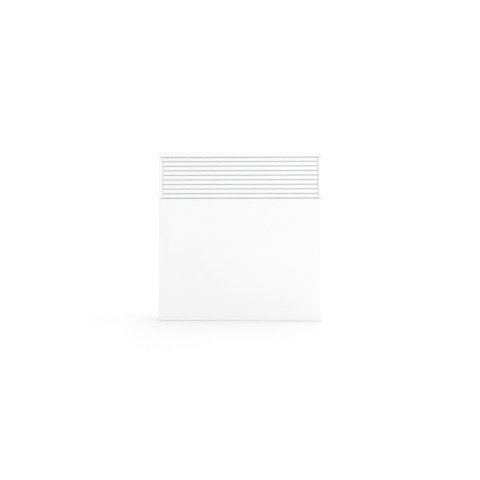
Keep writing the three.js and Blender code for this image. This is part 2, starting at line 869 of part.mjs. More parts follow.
function thermalCutout() {
  const rear = shieldFace - fitGap;
  const plate = block(
    [cutoutPlaceX - cutoutPlate / 2, cutoutPlaceX + cutoutPlate / 2],
    [rear - thinSheet, rear],
    [cutoutPlaceZ - cutoutRadius, cutoutPlaceZ + cutoutRadius]
  );
  const cap = roundBar(
    axisY,
    cutoutRadius,
    [rear - cutoutHeight, rear - thinSheet / 2],
    at(cutoutPlaceX, 0, cutoutPlaceZ),
    16
  );
  const tabs = [-1, 1].map((side) => {
    const place = cutoutPlaceX + (side * cutoutRadius) / 2;
    return block(
      [place - thinSheet / 2, place + thinSheet / 2],
      [rear - cutoutHeight - terminalLength, rear - cutoutHeight / 2],
      [cutoutPlaceZ - terminalWidth / 2, cutoutPlaceZ + terminalWidth / 2]
    );
  });
  return joined(plate, cap, ...tabs);
}

function addInsides() {
  addPiece("control_partition", controlPartition(), "galvanised");
  addPiece("heat_shield", heatShield(), "aluminium");
  addPiece("air_deflector", airDeflector(), "galvanised");
  addPiece("front_baffle", frontBaffle(), "aluminium");
  addPiece("heating_element", heatingElement(), "aluminium");
  addPiece("heater_rod", heaterRod(), "steel");
  addPiece("thermal_cutout", thermalCutout(), "darkPlastic");
  for (const [side, name] of [[-1, "left"], [1, "right"]]) {
    addPiece(`element_bracket_${name}`, elementBracket(side), "galvanised");
    addPiece(`element_bush_${name}`, elementBush(side), "ceramic");
    addPiece(`element_terminal_${name}`, elementTerminal(side), "brass");
    const seat = shieldFace - fitGap - elementBracketSheet - fitGap;
    const screw = screwSolid(axisY, seat, 1, at(footPlace(side), 0, footScrewLevel));
    addPiece(`element_screw_${name}`, screw, "steel");
  }
  for (const [index, name] of [[0, "lower"], [1, "upper"]]) {
    addPiece(`lead_grommet_${name}`, leadGrommet(grommetLevels[index]), "darkPlastic");
  }
}

// A rubber ring with a rim on each side of the partition.
function leadGrommet(level) {
  const near = partitionPlace - fitGap;
  const far = partitionPlace + thinSheet + fitGap;
  const centre = at(0, grommetPlaceY, level);
  const neck = roundBar(axisX, grommetNeck, [near - sheet, far + sheet], centre, 12);
  const rims = [
    roundBar(axisX, grommetRim, [near - grommetRimThickness, near], centre, 12),
    roundBar(axisX, grommetRim, [far, far + grommetRimThickness], centre, 12),
  ];
  const bore = roundBar(axisX, grommetBore, [near - 3 * sheet, far + 3 * sheet], centre, 12);
  return cutBy(joined(neck, ...rims), bore);
}

// Controls: a tray sunk into the top cover, with a thermostat knob, a rocker switch and a lens.

const knobAxis = at(knobPlaceX, trayMiddle, 0);
const switchAxisLevel = trayFloorTop + switchRim;
const floorHole = switchRim;

function controlTray() {
  const outerX = [trayLeft - trayWall, trayRight + trayWall];
  const outerY = [trayFront - trayWall, trayRear + trayWall];
  const tub = block(outerX, outerY, [trayFloorBottom, trayTop]);
  const flange = block(
    [trayLeft - trayFlange, trayRight + trayFlange],
    [trayFront - trayFlange, trayRear + trayFlange],
    [trayTop - trayWall, trayTop]
  );
  const hollow = block([trayLeft, trayRight], [trayFront, trayRear], [trayFloorTop, trayTop + sheet]);
  const spindleHole = roundBar(
    axisZ,
    spindleRadius + 1,
    [trayFloorBottom - sheet, trayFloorTop + sheet],
    knobAxis,
    16
  );
  const switchHole = block(
    [switchPlaceX - switchWidth / 2 + floorHole / 2, switchPlaceX + switchWidth / 2 - floorHole / 2],
    [trayMiddle - switchLength / 2 + floorHole / 2, trayMiddle + switchLength / 2 - floorHole / 2],
    [trayFloorBottom - sheet, trayFloorTop + sheet]
  );
  const lensHole = roundBar(
    axisZ,
    lensRadius + fitGap,
    [trayFloorBottom - sheet, trayFloorTop + sheet],
    at(lensPlaceX, trayMiddle, 0),
    16
  );
  return cutBy(joined(tub, flange), hollow, spindleHole, switchHole, lensHole);
}

const thermostatTop = trayFloorBottom - fitGap;
const thermostatBottom = thermostatTop - thermostatHeight;

function thermostatBody() {
  const half = thermostatWidth / 2;
  const body = block(
    [knobPlaceX - half, knobPlaceX + half],
    [trayMiddle - half, trayMiddle + half],
    [thermostatBottom, thermostatTop]
  );
  const tabs = [-1, 1].map((side) => {
    const place = knobPlaceX + (side * half) / 2;
    return block(
      [place - thinSheet / 2, place + thinSheet / 2],
      [trayMiddle - terminalWidth / 2, trayMiddle + terminalWidth / 2],
      [thermostatBottom - terminalLength, thermostatBottom + sheet]
    );
  });
  const bore = roundBar(
    axisZ,
    spindleRadius + fitGap,
    [thermostatTop - spindleEngagement - fitGap, thermostatTop + sheet],
    knobAxis,
    16
  );
  return cutBy(joined(body, ...tabs), bore);
}

function thermostatSpindle() {
  const top = trayFloorTop + knobHeight * 0.75;
  const bar = roundBar(axisZ, spindleRadius, [thermostatTop - spindleEngagement, top], knobAxis, 16);
  const flat = block(
    [knobPlaceX + spindleRadius / 2, knobPlaceX + 2 * spindleRadius],
    [trayMiddle - 2 * spindleRadius, trayMiddle + 2 * spindleRadius],
    [trayFloorTop + sheet, top + sheet]
  );
  return cutBy(bar, flat);
}

function thermostatKnob() {
  const base = trayFloorTop + fitGap;
  const top = base + knobHeight;
  const profile = new THREE.Path();
  profile.moveTo(0, 0);
  profile.lineTo(knobRadius, 0);
  profile.lineTo(knobRadius, knobSkirt);
  profile.lineTo(knobTopRadius + knobTaper, knobShoulder);
  profile.lineTo(knobTopRadius, knobHeight - knobTaper);
  profile.lineTo(knobTopRadius - knobTaper, knobHeight);
  profile.lineTo(0, knobHeight);
  const body = turned(profile, 36, at(knobPlaceX, trayMiddle, base));
  const pointer = block(
    [knobPlaceX - 1, knobPlaceX + 1],
    [trayMiddle - knobTopRadius + 2, trayMiddle],
    [top - sheet, top + knobPointer]
  );
  const socketTop = trayFloorTop + knobHeight * 0.75 + fitGap;
  const socket = roundBar(axisZ, spindleRadius + fitGap, [base - sheet, socketTop], knobAxis, 16);
  return cutBy(joined(body, pointer), socket);
}

function switchHousing() {
  const rim = block(
    [switchPlaceX - switchWidth / 2, switchPlaceX + switchWidth / 2],
    [trayMiddle - switchLength / 2, trayMiddle + switchLength / 2],
    [trayFloorTop + fitGap, trayFloorTop + fitGap + switchRim]
  );
  const inset = floorHole / 2 + fitGap;
  const body = block(
    [switchPlaceX - switchWidth / 2 + inset, switchPlaceX + switchWidth / 2 - inset],
    [trayMiddle - switchLength / 2 + inset, trayMiddle + switchLength / 2 - inset],
    [trayFloorTop - switchBodyHeight, trayFloorTop + switchRim]
  );
  const well = block(
    [switchPlaceX - rockerWidth / 2 - fitGap, switchPlaceX + rockerWidth / 2 + fitGap],
    [trayMiddle - rockerLength / 2 - 2 * fitGap, trayMiddle + rockerLength / 2 + 2 * fitGap],
    [trayFloorTop - switchBodyHeight / 2, trayFloorTop + 2 * switchRim]
  );
  const tabs = [-1, 1].map((side) => {
    const place = trayMiddle + (side * switchLength) / 4;
    const bottom = trayFloorTop - switchBodyHeight;
    return block(
      [switchPlaceX - terminalWidth / 2, switchPlaceX + terminalWidth / 2],
      [place - thinSheet / 2, place + thinSheet / 2],
      [bottom - terminalLength, bottom + sheet]
    );
  });
  return cutBy(joined(rim, body, ...tabs), well);
}

// The rocker rests in its off position, with its rear end down.
function powerRocker() {
  const half = rockerLength / 2;
  const tilt = THREE.MathUtils.degToRad(-rockerTilt);
  const outline = new THREE.Shape();
  outline.moveTo(-half, -1);
  outline.lineTo(-half, rockerRise);
  outline.lineTo(0, rockerRise / 2);
  outline.lineTo(half, rockerRise);
  outline.lineTo(half, -1);
  outline.quadraticCurveTo(0, -rockerRise * 1.6, -half, -1);
  const settings = { depth: rockerWidth, bevelEnabled: false, curveSegments: 6 };
  const geometry = new THREE.ExtrudeGeometry(outline, settings);
  geometry.translate(0, 0, -rockerWidth / 2);
  geometry.applyMatrix4(new THREE.Matrix4().makeBasis(axisY, axisZ, axisX));
  geometry.rotateX(tilt);
  geometry.translate(switchPlaceX, trayMiddle, switchAxisLevel);
  return solidOf(geometry);
}

function indicatorLens() {
  const shoulder = trayFloor + lensStem;
  const profile = new THREE.Path();
  profile.moveTo(0, 0);
  profile.lineTo(lensRadius, 0);
  profile.lineTo(lensRadius, shoulder);
  profile.quadraticCurveTo(lensRadius, shoulder + lensDome, 0, shoulder + lensDome);
  return turned(profile, 16, at(lensPlaceX, trayMiddle, trayFloorTop - lensStem));
}

function addControls() {
  addPiece("control_tray", controlTray(), "greyPlastic");
  addPiece("thermostat_body", thermostatBody(), "darkPlastic");
  addPiece("thermostat_spindle", thermostatSpindle(), "steel");
  addPiece("thermostat_knob", thermostatKnob(), "whitePlastic");
  addPiece("switch_housing", switchHousing(), "darkPlastic");
  addPiece("power_rocker", powerRocker(), "darkPlastic");
  addPiece("indicator_lens", indicatorLens(), "redLens");
}

// Supply connection: a gland in the rear housing, a terminal block and an earth screw.

const glandAxis = at(glandPlaceX, 0, glandPlaceZ);
const earthPlace = at(glandPlaceX + earthOffset, 0, terminalBlockPlaceZ);

function earthHole() {
  return screwHole(axisY, backInside - sheet, backFace + sheet, earthPlace);
}

function cableGland() {
  const flangeRadius = glandRadius + 3;
  const seat = backFace + fitGap;
  const stem = roundBar(
    axisY,
    glandRadius,
    [backInside - glandInside, seat + glandOutside / 2],
    glandAxis,
    20
  );
  const collar = roundBar(axisY, flangeRadius, [seat, seat + 2 * sheet], glandAxis, 20);
  const nose = roundBar(axisY, glandRadius - 1, [seat + sheet, seat + glandOutside], glandAxis, 20);
  const bore = roundBar(axisY, glandBore, [backInside - 2 * glandInside, glandOutside], glandAxis, 16);
  return cutBy(joined(stem, collar, nose), bore);
}

function glandNut() {
  const seat = backInside - fitGap;
  const nut = roundBar(axisY, glandRadius + 4, [seat - 5, seat], glandAxis, 6);
  const bore = roundBar(axisY, glandRadius + fitGap, [seat - 6, seat + 1], glandAxis, 20);
  return cutBy(nut, bore);
}

function terminalBlock() {
  const low = terminalBlockPlaceZ - blockHeight / 2;
  const body = block(
    [terminalBlockPlaceX - blockWidth / 2, terminalBlockPlaceX + blockWidth / 2],
    [innerBack - blockDepth, innerBack],
    [low, low + blockHeight]
  );
  const wells = [];
  const level = low + blockHeight / 2;
  for (let way = 0; way < blockWays; way += 1) {
    const place = wayPlace(way);
    wells.push(roundBar(
      axisY,
      wellRadius,
      [innerBack - 2 * blockDepth, innerBack - blockDepth / 2],
      at(place, 0, level),
      10
    ));
  }
  return cutBy(body, ...wells);
}

function wayPlace(way) {
  return terminalBlockPlaceX + (way - (blockWays - 1) / 2) * (blockWidth / blockWays);
}

// The point where a lead meets the top of one way of the terminal block.
function wayEntry(way, side) {
  const level = terminalBlockPlaceZ + side * (blockHeight / 2 + fitGap);
  return at(wayPlace(way), innerBack - blockDepth / 2, level);
}

// Leads, from one connection to the other. The points between are chosen to keep clear of the other pieces.

function leadFrom(start, way, end) {
  return tubeThrough([start, ...way, end], leadRadius);
}

const tabEndGap = fitGap + 0.2;

// Points on the straight stretch of a lead through the partition, in the order that `heading` gives along X.
function throughGrommet(level, heading) {
  return [-20, -8, 8, 20].map((step) => at(partitionPlace + heading * step, grommetPlaceY, level));
}

// The point just below a connection tab of the switch, towards the front or the rear.
function switchTabEnd(side) {
  const level = trayFloorTop - switchBodyHeight - terminalLength - tabEndGap;
  return at(switchPlaceX, trayMiddle + (side * switchLength) / 4, level);
}

// The point just below the left or right connection tab of the thermostat.
function thermostatTabEnd(side) {
  const level = thermostatBottom - terminalLength - tabEndGap;
  return at(knobPlaceX + (side * thermostatWidth) / 4, trayMiddle, level);
}

// The point just in front of the left or right connection tab of the thermal cut-out.
function cutoutTabEnd(side) {
  const depth = shieldFace - fitGap - cutoutHeight - terminalLength - tabEndGap;
  return at(cutoutPlaceX + (side * cutoutRadius) / 2, depth, cutoutPlaceZ);
}

function offset(point, x, y, z) {
  return at(point.x + x, point.y + y, point.z + z);
}

function supplyLiveLead() {
  const start = wayEntry(2, 1);
  const end = switchTabEnd(-1);
  const way = [
    offset(start, 0, 0, leadSlack),
    at(end.x, (start.y + end.y) / 2, start.z + 4 * leadSlack),
    offset(end, 0, 0, -2 * leadSlack),
  ];
  return leadFrom(start, way, end);
}

function switchLead() {
  const start = switchTabEnd(1);
  const end = thermostatTabEnd(1);
  const drop = leadSlack / 3;
  const sag = Math.min(start.z, end.z) - 2 * drop;
  const way = [
    offset(start, 0, 0, -drop),
    at((start.x + end.x) / 2, (start.y + end.y) / 2, sag),
    offset(end, 0, 0, -drop),
  ];
  return leadFrom(start, way, end);
}

function thermostatLead() {
  const start = thermostatTabEnd(-1);
  const end = cutoutTabEnd(1);
  const level = grommetLevels[1];
  const way = [
    offset(start, 0, 0, -1.5 * leadSlack),
    at(start.x - leadSlack / 5, grommetPlaceY + grommetOffset, level + 3 * leadSlack),
    ...throughGrommet(level, -1),
    offset(end, 12, -12, -6),
    offset(end, 0, -6, 0),
  ];
  return leadFrom(start, way, end);
}

function cutoutLead() {
  const start = cutoutTabEnd(-1);
  const end = at(rodEnd(1) + terminalLength + fitGap + tabEndGap, elementPlaceY, elementPlaceZ);
  const way = [
    offset(start, 0, -6, 0),
    offset(start, 8, -14, -14),
    at(end.x - leadSlack, grommetPlaceY - 10, elementPlaceZ + 2 * leadSlack),
    offset(end, 3, -3, 10),
    offset(end, 3, 0, 0),
  ];
  return leadFrom(start, way, end);
}

function neutralLead() {
  const start = at(rodEnd(-1) - terminalLength - fitGap - tabEndGap, elementPlaceY, elementPlaceZ);
  const end = wayEntry(0, -1);
  const level = grommetLevels[0];
  const run = shieldBottom + 8;
  const way = [
    offset(start, -3, 0, 0),
    offset(start, -3, -3, -10),
    offset(start, 0, -grommetOffset, -1.7 * leadSlack),
    at(start.x + leadSlack, grommetPlaceY, run),
    at((start.x + partitionPlace) / 2, grommetPlaceY, run),
    at(partitionPlace - 2.5 * leadSlack, grommetPlaceY, run + 2),
    ...throughGrommet(level, 1),
    at(end.x - 4, (grommetPlaceY + end.y) / 2, level - 10),
    offset(end, 0, 0, -8),
  ];
  return leadFrom(start, way, end);
}

function earthLead() {
  const start = wayEntry(1, -1);
  const reach = screwHead + leadRadius + 2 * fitGap;
  const end = at(earthPlace.x, innerBack - reach, earthPlace.z - screwHeadRadius);
  const low = start.z - 12;
  return leadFrom(start, [at(start.x + 2, start.y, low), at(end.x - 8, end.y - 2, low)], end);
}

// Room temperature sensor: a bulb low in the casing, joined to the thermostat by its own fine tube.

function sensingBulb() {
  const bulb = roundBar(
    axisZ,
    bulbRadius,
    [bulbTop - bulbLength, bulbTop],
    at(bulbPlaceX, bulbPlaceY, 0),
    12
  );
  const start = at(knobPlaceX + thermostatWidth / 2 - 4, trayMiddle - 10, thermostatBottom - fitGap);
  const points = [
    start,
    offset(start, 0, 0, -leadSlack),
    at(bulbPlaceX - 4, bulbPlaceY, start.z - 3 * leadSlack),
    at(bulbPlaceX, bulbPlaceY, bulbTop + 3 * leadSlack),
    at(bulbPlaceX, bulbPlaceY, bulbTop - 4),
  ];
  return joined(bulb, tubeThrough(points, capillaryRadius, 6, 5));
}

function bulbClip() {
  const inner = bulbRadius + fitGap;
  const level = bulbTop - bulbLength / 2;
  const levels = [level - clipHeight / 2, level + clipHeight / 2];
  const past = [levels[0] - sheet, levels[1] + sheet];
  const centre = at(bulbPlaceX, bulbPlaceY, 0);
  const wall = housingInside - fitGap;
  const side = bulbPlaceY + inner;
  const ring = roundBar(axisZ, inner + thinSheet, levels, centre, 16);
  const foot = block([bulbPlaceX, wall], [side, side + thinSheet], levels);
  const tab = block([wall - thinSheet, wall], [side, side + clipTab], levels);
  const bore = roundBar(axisZ, inner, past, centre, 12);
  const across = [bulbPlaceX - inner / 2, bulbPlaceX + inner / 2];
  const mouth = block(across, [bulbPlaceY - 4 * inner, bulbPlaceY], past);
  return cutBy(joined(ring, foot, tab), bore, mouth);
}

function addSupply() {
  addPiece("cable_gland", cableGland(), "whitePlastic");
  addPiece("gland_nut", glandNut(), "whitePlastic");
  addPiece("terminal_block", terminalBlock(), "whitePlastic");
  addPiece("earth_screw", screwSolid(axisY, innerBack, 1, earthPlace), "brass");
  addPiece("supply_live_lead", supplyLiveLead(), "brownWire");
  addPiece("switch_lead", switchLead(), "brownWire");
  addPiece("thermostat_lead", thermostatLead(), "whiteWire");
  addPiece("cutout_lead", cutoutLead(), "whiteWire");
  addPiece("neutral_lead", neutralLead(), "blueWire");
  addPiece("earth_lead", earthLead(), "greenWire");
  addPiece("sensing_bulb", sensingBulb(), "copper");
  addPiece("bulb_clip", bulbClip(), "steel");
}

addCasing();
addInsides();
addControls();
addSupply();

export default heater;
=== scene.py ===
"""Wall panel convector heater: smooth folded sheets, finishes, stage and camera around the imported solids."""

import json
import math
from functools import partial

import bmesh
import bpy
from bpy.props import FloatProperty, FloatVectorProperty, IntProperty, PointerProperty
from bpy.types import Operator, Panel, PropertyGroup
from mathutils import Matrix, Vector


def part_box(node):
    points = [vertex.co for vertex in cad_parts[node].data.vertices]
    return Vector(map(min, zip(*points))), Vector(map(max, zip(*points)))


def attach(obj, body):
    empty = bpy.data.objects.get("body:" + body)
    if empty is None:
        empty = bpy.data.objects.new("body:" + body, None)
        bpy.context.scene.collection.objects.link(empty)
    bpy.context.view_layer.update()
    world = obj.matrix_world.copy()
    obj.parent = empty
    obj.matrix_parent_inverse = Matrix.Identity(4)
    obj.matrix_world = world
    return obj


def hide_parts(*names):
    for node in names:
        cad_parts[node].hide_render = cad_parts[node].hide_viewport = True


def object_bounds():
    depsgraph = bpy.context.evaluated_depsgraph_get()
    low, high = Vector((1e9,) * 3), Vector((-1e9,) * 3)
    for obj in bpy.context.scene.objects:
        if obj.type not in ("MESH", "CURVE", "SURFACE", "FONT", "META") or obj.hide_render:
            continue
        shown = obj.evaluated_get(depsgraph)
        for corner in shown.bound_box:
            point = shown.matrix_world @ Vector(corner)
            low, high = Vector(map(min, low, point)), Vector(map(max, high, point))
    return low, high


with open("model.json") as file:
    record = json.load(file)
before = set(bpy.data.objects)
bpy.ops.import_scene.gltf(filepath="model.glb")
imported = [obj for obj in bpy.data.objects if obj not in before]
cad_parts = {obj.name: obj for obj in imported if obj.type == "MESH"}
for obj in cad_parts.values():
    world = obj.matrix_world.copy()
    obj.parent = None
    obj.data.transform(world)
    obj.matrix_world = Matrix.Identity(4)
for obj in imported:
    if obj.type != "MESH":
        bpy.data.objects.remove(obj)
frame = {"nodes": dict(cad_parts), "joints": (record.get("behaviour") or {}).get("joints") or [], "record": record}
CAD_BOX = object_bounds()

bl_info = {
    "name": "Panel Convector Heater",
    "version": (1, 0, 0),
    "blender": (4, 5, 0),
    "location": "3D View > Sidebar > Heater",
    "description": "Builds the visible pieces, finishes and stage of a wall panel convector heater",
    "category": "Object",
}

NODES = frame["nodes"]
JOINTS = {joint["name"]: joint for joint in frame["joints"]}
AXIS_X = Vector((1, 0, 0))
AXIS_Y = Vector((0, 1, 0))
AXIS_Z = Vector((0, 0, 1))
BLADES = sum(name.startswith("louvre_blade_") for name in NODES)

# The clearance between neighbouring pieces, and how far the gland's collar stands out from its stem
FIT_GAP = 0.0003
GLAND_COLLAR = 0.003

# How near counts as at a level, as the same place and as in a flat face, and a place past every piece
NEAR = 1e-5
MERGE = 1e-6
BESIDE = 1e-4
FAR = 10.0

Length = partial(FloatProperty, unit="LENGTH")
Strength = partial(FloatProperty, min=0)
Colour = partial(FloatVectorProperty, subtype="COLOR", min=0, max=1)


# Settings that a user may change

class CasingSizes(PropertyGroup):
    """Sheet metal of the casing."""

    sheet: Length(name="Sheet", description="Thickness of the casing's sheet", default=0.001)
    bend: Length(name="Side bend", description="Outer radius of the side bends", default=0.0025)
    fold: Length(name="Small fold", description="Outer radius of hems and flanges", default=0.0015)
    relief: Length(name="Relief", description="Gap beside a flange at a corner", default=0.0004)
    cut_edge: Length(name="Cut edge", description="Softening of cut edges", default=0.00015)
    hem: Length(name="Hem", description="Depth of the hem on the front panel", default=0.012)
    upstand: Length(name="Upstand", description="Height of the lower channel", default=0.005)
    cover_corner: Length(name="Cover corner", description="Radius of the cover's ends", default=0.007)
    cover_edge: Length(name="Cover edge", description="Radius along the cover's edges", default=0.002)
    tab: Length(name="Tab", description="Width of a tab for the cover's screw", default=0.03)
    tab_drop: Length(name="Tab drop", description="Fall of a tab's inward step", default=0.0008)
    slot_spare: Length(name="Slot spare", description="Spare height of a hook slot", default=0.0012)
    hole_spare: Length(name="Hole spare", description="Spare radius round the gland", default=0.0004)


class LouvreSizes(PropertyGroup):
    """Louvre blades and their frame."""

    flange: Length(name="Flange", description="Depth and rise of a blade's flange", default=0.005)
    bend: Length(name="Bend", description="Outer radius of a blade's fold", default=0.0013)
    cheek: Length(name="Cheek", description="Depth of the cheeks behind the blades' faces", default=0.018)
    rail: Length(name="Upper rail", description="Depth of the upper rail", default=0.006)
    rail_inset: Length(name="Rail inset", description="Lower rail behind the face", default=0.002)


class GrilleSizes(PropertyGroup):
    """Slots of the inlet grille."""

    slots: IntProperty(name="Slots", description="Number of slots", default=32, min=2)
    pitch: Length(name="Pitch", description="Distance between slots", default=0.0125)
    width: Length(name="Width", description="Width of a slot", default=0.005)
    length: Length(name="Length", description="Length of a slot", default=0.038)


class BracketSizes(PropertyGroup):
    """Wall bracket and its hooks."""

    sheet: Length(name="Sheet", description="Thickness of the wall bracket", default=0.0015)
    channel: Length(name="Channel", description="Width of a channel", default=0.036)
    crossbar: Length(name="Crossbar", description="Height of the crossbar", default=0.05)
    crossbar_depth: Length(name="Crossbar depth", description="Depth of the crossbar's lips", default=0.008)
    upper: Length(name="Upper hooks", description="Level of the upper hooks", default=0.118)
    lower: Length(name="Lower hooks", description="Level of the lower hooks", default=-0.102)
    arm: Length(name="Hook arm", description="Height of a hook's arm", default=0.006)
    rise: Length(name="Hook rise", description="Rise of a hook's tip", default=0.01)
    throat: Length(name="Hook throat", description="Room behind a hook's tip", default=0.0026)
    tip: Length(name="Hook tip", description="Depth of a hook's tip", default=0.0065)
    hole: Length(name="Wall hole", description="Radius of a wall hole", default=0.003)
    hole_inset: Length(name="Hole inset", description="Wall hole from a channel's end", default=0.016)


class ControlSizes(PropertyGroup):
    """Recessed controls in the top."""

    wall: Length(name="Tray wall", description="Wall of the control tray", default=0.0018)
    floor: Length(name="Tray floor", description="Floor's upper face above the tray's box", default=0.002)
    corner: Length(name="Tray corner", description="Radius of the tray's corners", default=0.003)
    flange: Length(name="Tray flange", description="Flange under the cover", default=0.005)
    switch_lap: Length(name="Switch lap", description="Switch frame past its opening", default=0.0012)
    flutes: IntProperty(name="Flutes", description="Flutes round the knob", default=36, min=8)
    flute_depth: Length(name="Flute depth", description="Depth of a flute", default=0.0006)
    numeral: Length(name="Numeral", description="Height of a scale number", default=0.0038)
    steps: IntProperty(name="Scale steps", description="Highest number of the scale", default=6, min=1)
    print_height: Length(name="Print", description="Thickness of the marks", default=0.00015)


class FinishColours(PropertyGroup):
    """Colours of the finishes."""

    powder: Colour(name="Powder coat", description="White paint of the casing", default=(0.84, 0.843, 0.842))
    zinc: Colour(name="Zinc", description="Galvanised sheet", default=(0.44, 0.45, 0.46))
    aluminium: Colour(name="Aluminium", description="Bright sheet", default=(0.72, 0.73, 0.74))
    tray: Colour(name="Tray", description="Grey control tray", default=(0.28, 0.30, 0.32))
    knob: Colour(name="Knob", description="White knob", default=(0.82, 0.82, 0.80))
    lens: Colour(name="Lens", description="Red indicator lens", default=(0.60, 0.045, 0.02))


class StageSettings(PropertyGroup):
    """Camera, floor and light."""

    turn: FloatProperty(
        name="Turn", description="Camera's turn to the right", subtype="ANGLE", default=math.radians(3)
    )
    distance: Length(name="Distance", description="Camera to the front face", default=2.8)
    width: Length(name="Width", description="Width seen at the front face", default=1.245)
    drop: Length(name="Drop", description="Camera below the middle", default=0.0104)
    floor: Length(name="Floor", description="Half the width of the floor", default=40.0)
    floor_gap: Length(name="Floor gap", description="Floor below the casing", default=0.0002)
    sky: Strength(name="Sky", description="Strength of the even light", default=1.02)
    slant: Strength(name="Slant", description="How much more light comes from the right", default=0.2)
    overhead: Strength(name="Overhead", description="Strength of the light from above", default=0.25)
    low: Strength(name="Low", description="Strength of the low light from behind", default=0.35)
    key: FloatProperty(name="Key", description="Power of the light at the right", default=5.8, unit="POWER")


# Work on meshes

def middle_of(name):
    """The middle of a node's box."""
    low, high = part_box(name)
    return (low + high) / 2


def half_width(name):
    """Half of a node's width, or the radius of a round one."""
    low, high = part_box(name)
    return (high.x - low.x) / 2


def picked(made, kind):
    """The vertices, edges or faces in what an operator returns."""
    return [item for item in made["geom"] if isinstance(item, kind)]


def verts_of(edges):
    """The vertices of some edges, each once."""
    return list({vert for edge in edges for vert in edge.verts})


def edges_of(verts):
    """The edges that meet some vertices, each once."""
    return list({edge for vert in verts for edge in vert.link_edges})


def lies_at(item, axis, level):
    """Whether an edge or a face lies in a plane across one axis."""
    return all(abs(vert.co.dot(axis) - level) < NEAR for vert in item.verts)


def flat_faces(bm, axis, level):
    """The faces that lie in a plane across one axis."""
    return [face for face in bm.faces if lies_at(face, axis, level)]


def open_edges(bm, axis, level):
    """The open edges in a plane across one axis."""
    return [edge for edge in bm.edges if edge.is_boundary and lies_at(edge, axis, level)]


def faces_within(bm, low, high):
    """The faces whose middles lie between two corners."""
    return [
        face for face in bm.faces
        if all(low[i] < face.calc_center_median()[i] < high[i] for i in range(3))
    ]


def merged(bm):
    """Merges vertices at the same place."""
    bmesh.ops.remove_doubles(bm, verts=bm.verts[:], dist=MERGE)


def even_normals(bm):
    """Turns the faces of a closed piece outwards."""
    bmesh.ops.recalc_face_normals(bm, faces=bm.faces[:])


def transformed(bm, matrix):
    """Moves or turns a whole piece."""
    bmesh.ops.transform(bm, matrix=matrix, verts=bm.verts[:])


def facing(bm, axis, centre):
    """Turns a piece's Z to an axis and moves its origin to a centre."""
    transformed(bm, Matrix.Translation(centre) @ axis.to_track_quat("Z", "Y").to_matrix().to_4x4())


def pushed_edges(bm, edges, step):
    """Pulls new faces from some edges, and returns the far edges."""
    made = bmesh.ops.extrude_edge_only(bm, edges=edges)
    bmesh.ops.translate(bm, verts=picked(made, bmesh.types.BMVert), vec=step)
    return picked(made, bmesh.types.BMEdge)


def pushed_faces(bm, faces, step):
    """Pulls some faces out with walls round them."""
    made = bmesh.ops.extrude_face_region(bm, geom=faces)
    bmesh.ops.translate(bm, verts=picked(made, bmesh.types.BMVert), vec=step)


def rounded(bm, geom, radius, segments, affect="EDGES"):
    """Rounds some edges, or some corners of a flat plate."""
    bmesh.ops.bevel(
        bm, geom=geom, offset=radius, affect=affect, segments=segments,
        profile=0.5, material=-1, clamp_overlap=False
    )


def round_folds(bm, along, radius, segments=6):
    """Rounds each sharp fold that runs along one axis."""
    folds = [
        edge for edge in bm.edges
        if len(edge.link_faces) == 2
        and edge.calc_face_angle() > math.radians(20)
        and abs((edge.verts[0].co - edge.verts[1].co).normalized().dot(along)) > 0.999
    ]
    for turn in sorted({round(edge.calc_face_angle(), 3) for edge in folds}):
        group = [edge for edge in folds if edge.is_valid and abs(edge.calc_face_angle() - turn) < 0.002]
        rounded(bm, group, radius * math.tan(turn / 2), segments)


def joined_into(bm, other):
    """Adds the faces of one mesh under work to another."""
    mesh = bpy.data.meshes.new("joined")
    other.to_mesh(mesh)
    other.free()
    bm.from_mesh(mesh)
    bpy.data.meshes.remove(mesh)


def marks_joined_into(bm, marks):
    """Adds printed marks, which take the piece's second material."""
    first = len(bm.faces)
    joined_into(bm, marks)
    bm.faces.ensure_lookup_table()
    for face in bm.faces[first:]:
        face.material_index = 1


def mirrored(bm):
    """A mesh under work together with its copy on the other side of the plane x = 0."""
    whole = bmesh.new()
    copy = bm.copy()
    bmesh.ops.scale(copy, vec=(-1, 1, 1), verts=copy.verts[:])
    bmesh.ops.reverse_faces(copy, faces=copy.faces[:])
    joined_into(whole, bm)
    joined_into(whole, copy)
    return whole


def boxed(low, high, bm=None):
    """A block between two corners, which may be added to a mesh under work."""
    bm = bmesh.new() if bm is None else bm
    made = bmesh.ops.create_cube(bm, size=1.0)["verts"]
    bmesh.ops.scale(bm, vec=Vector(high) - Vector(low), verts=made)
    bmesh.ops.translate(bm, vec=(Vector(low) + Vector(high)) / 2, verts=made)
    return bm


def circle(bm, radius, segments, matrix=Matrix.Identity(4)):
    """The vertices of a circle that is added to a mesh under work."""
    return bmesh.ops.create_circle(bm, segments=segments, radius=radius, matrix=matrix)["verts"]


def turned(profile, turns=32):
    """A closed round piece about Z, from an outline of (radius, height)."""
    bm = bmesh.new()
    verts = [bm.verts.new((reach, 0, level)) for reach, level in profile]
    edges = [bm.edges.new(pair) for pair in zip(verts, verts[1:])]
    bmesh.ops.spin(
        bm, geom=verts + edges, cent=(0, 0, 0), axis=AXIS_Z,
        angle=2 * math.pi, steps=turns, use_merge=True, use_duplicate=False
    )
    merged(bm)
    even_normals(bm)
    return bm


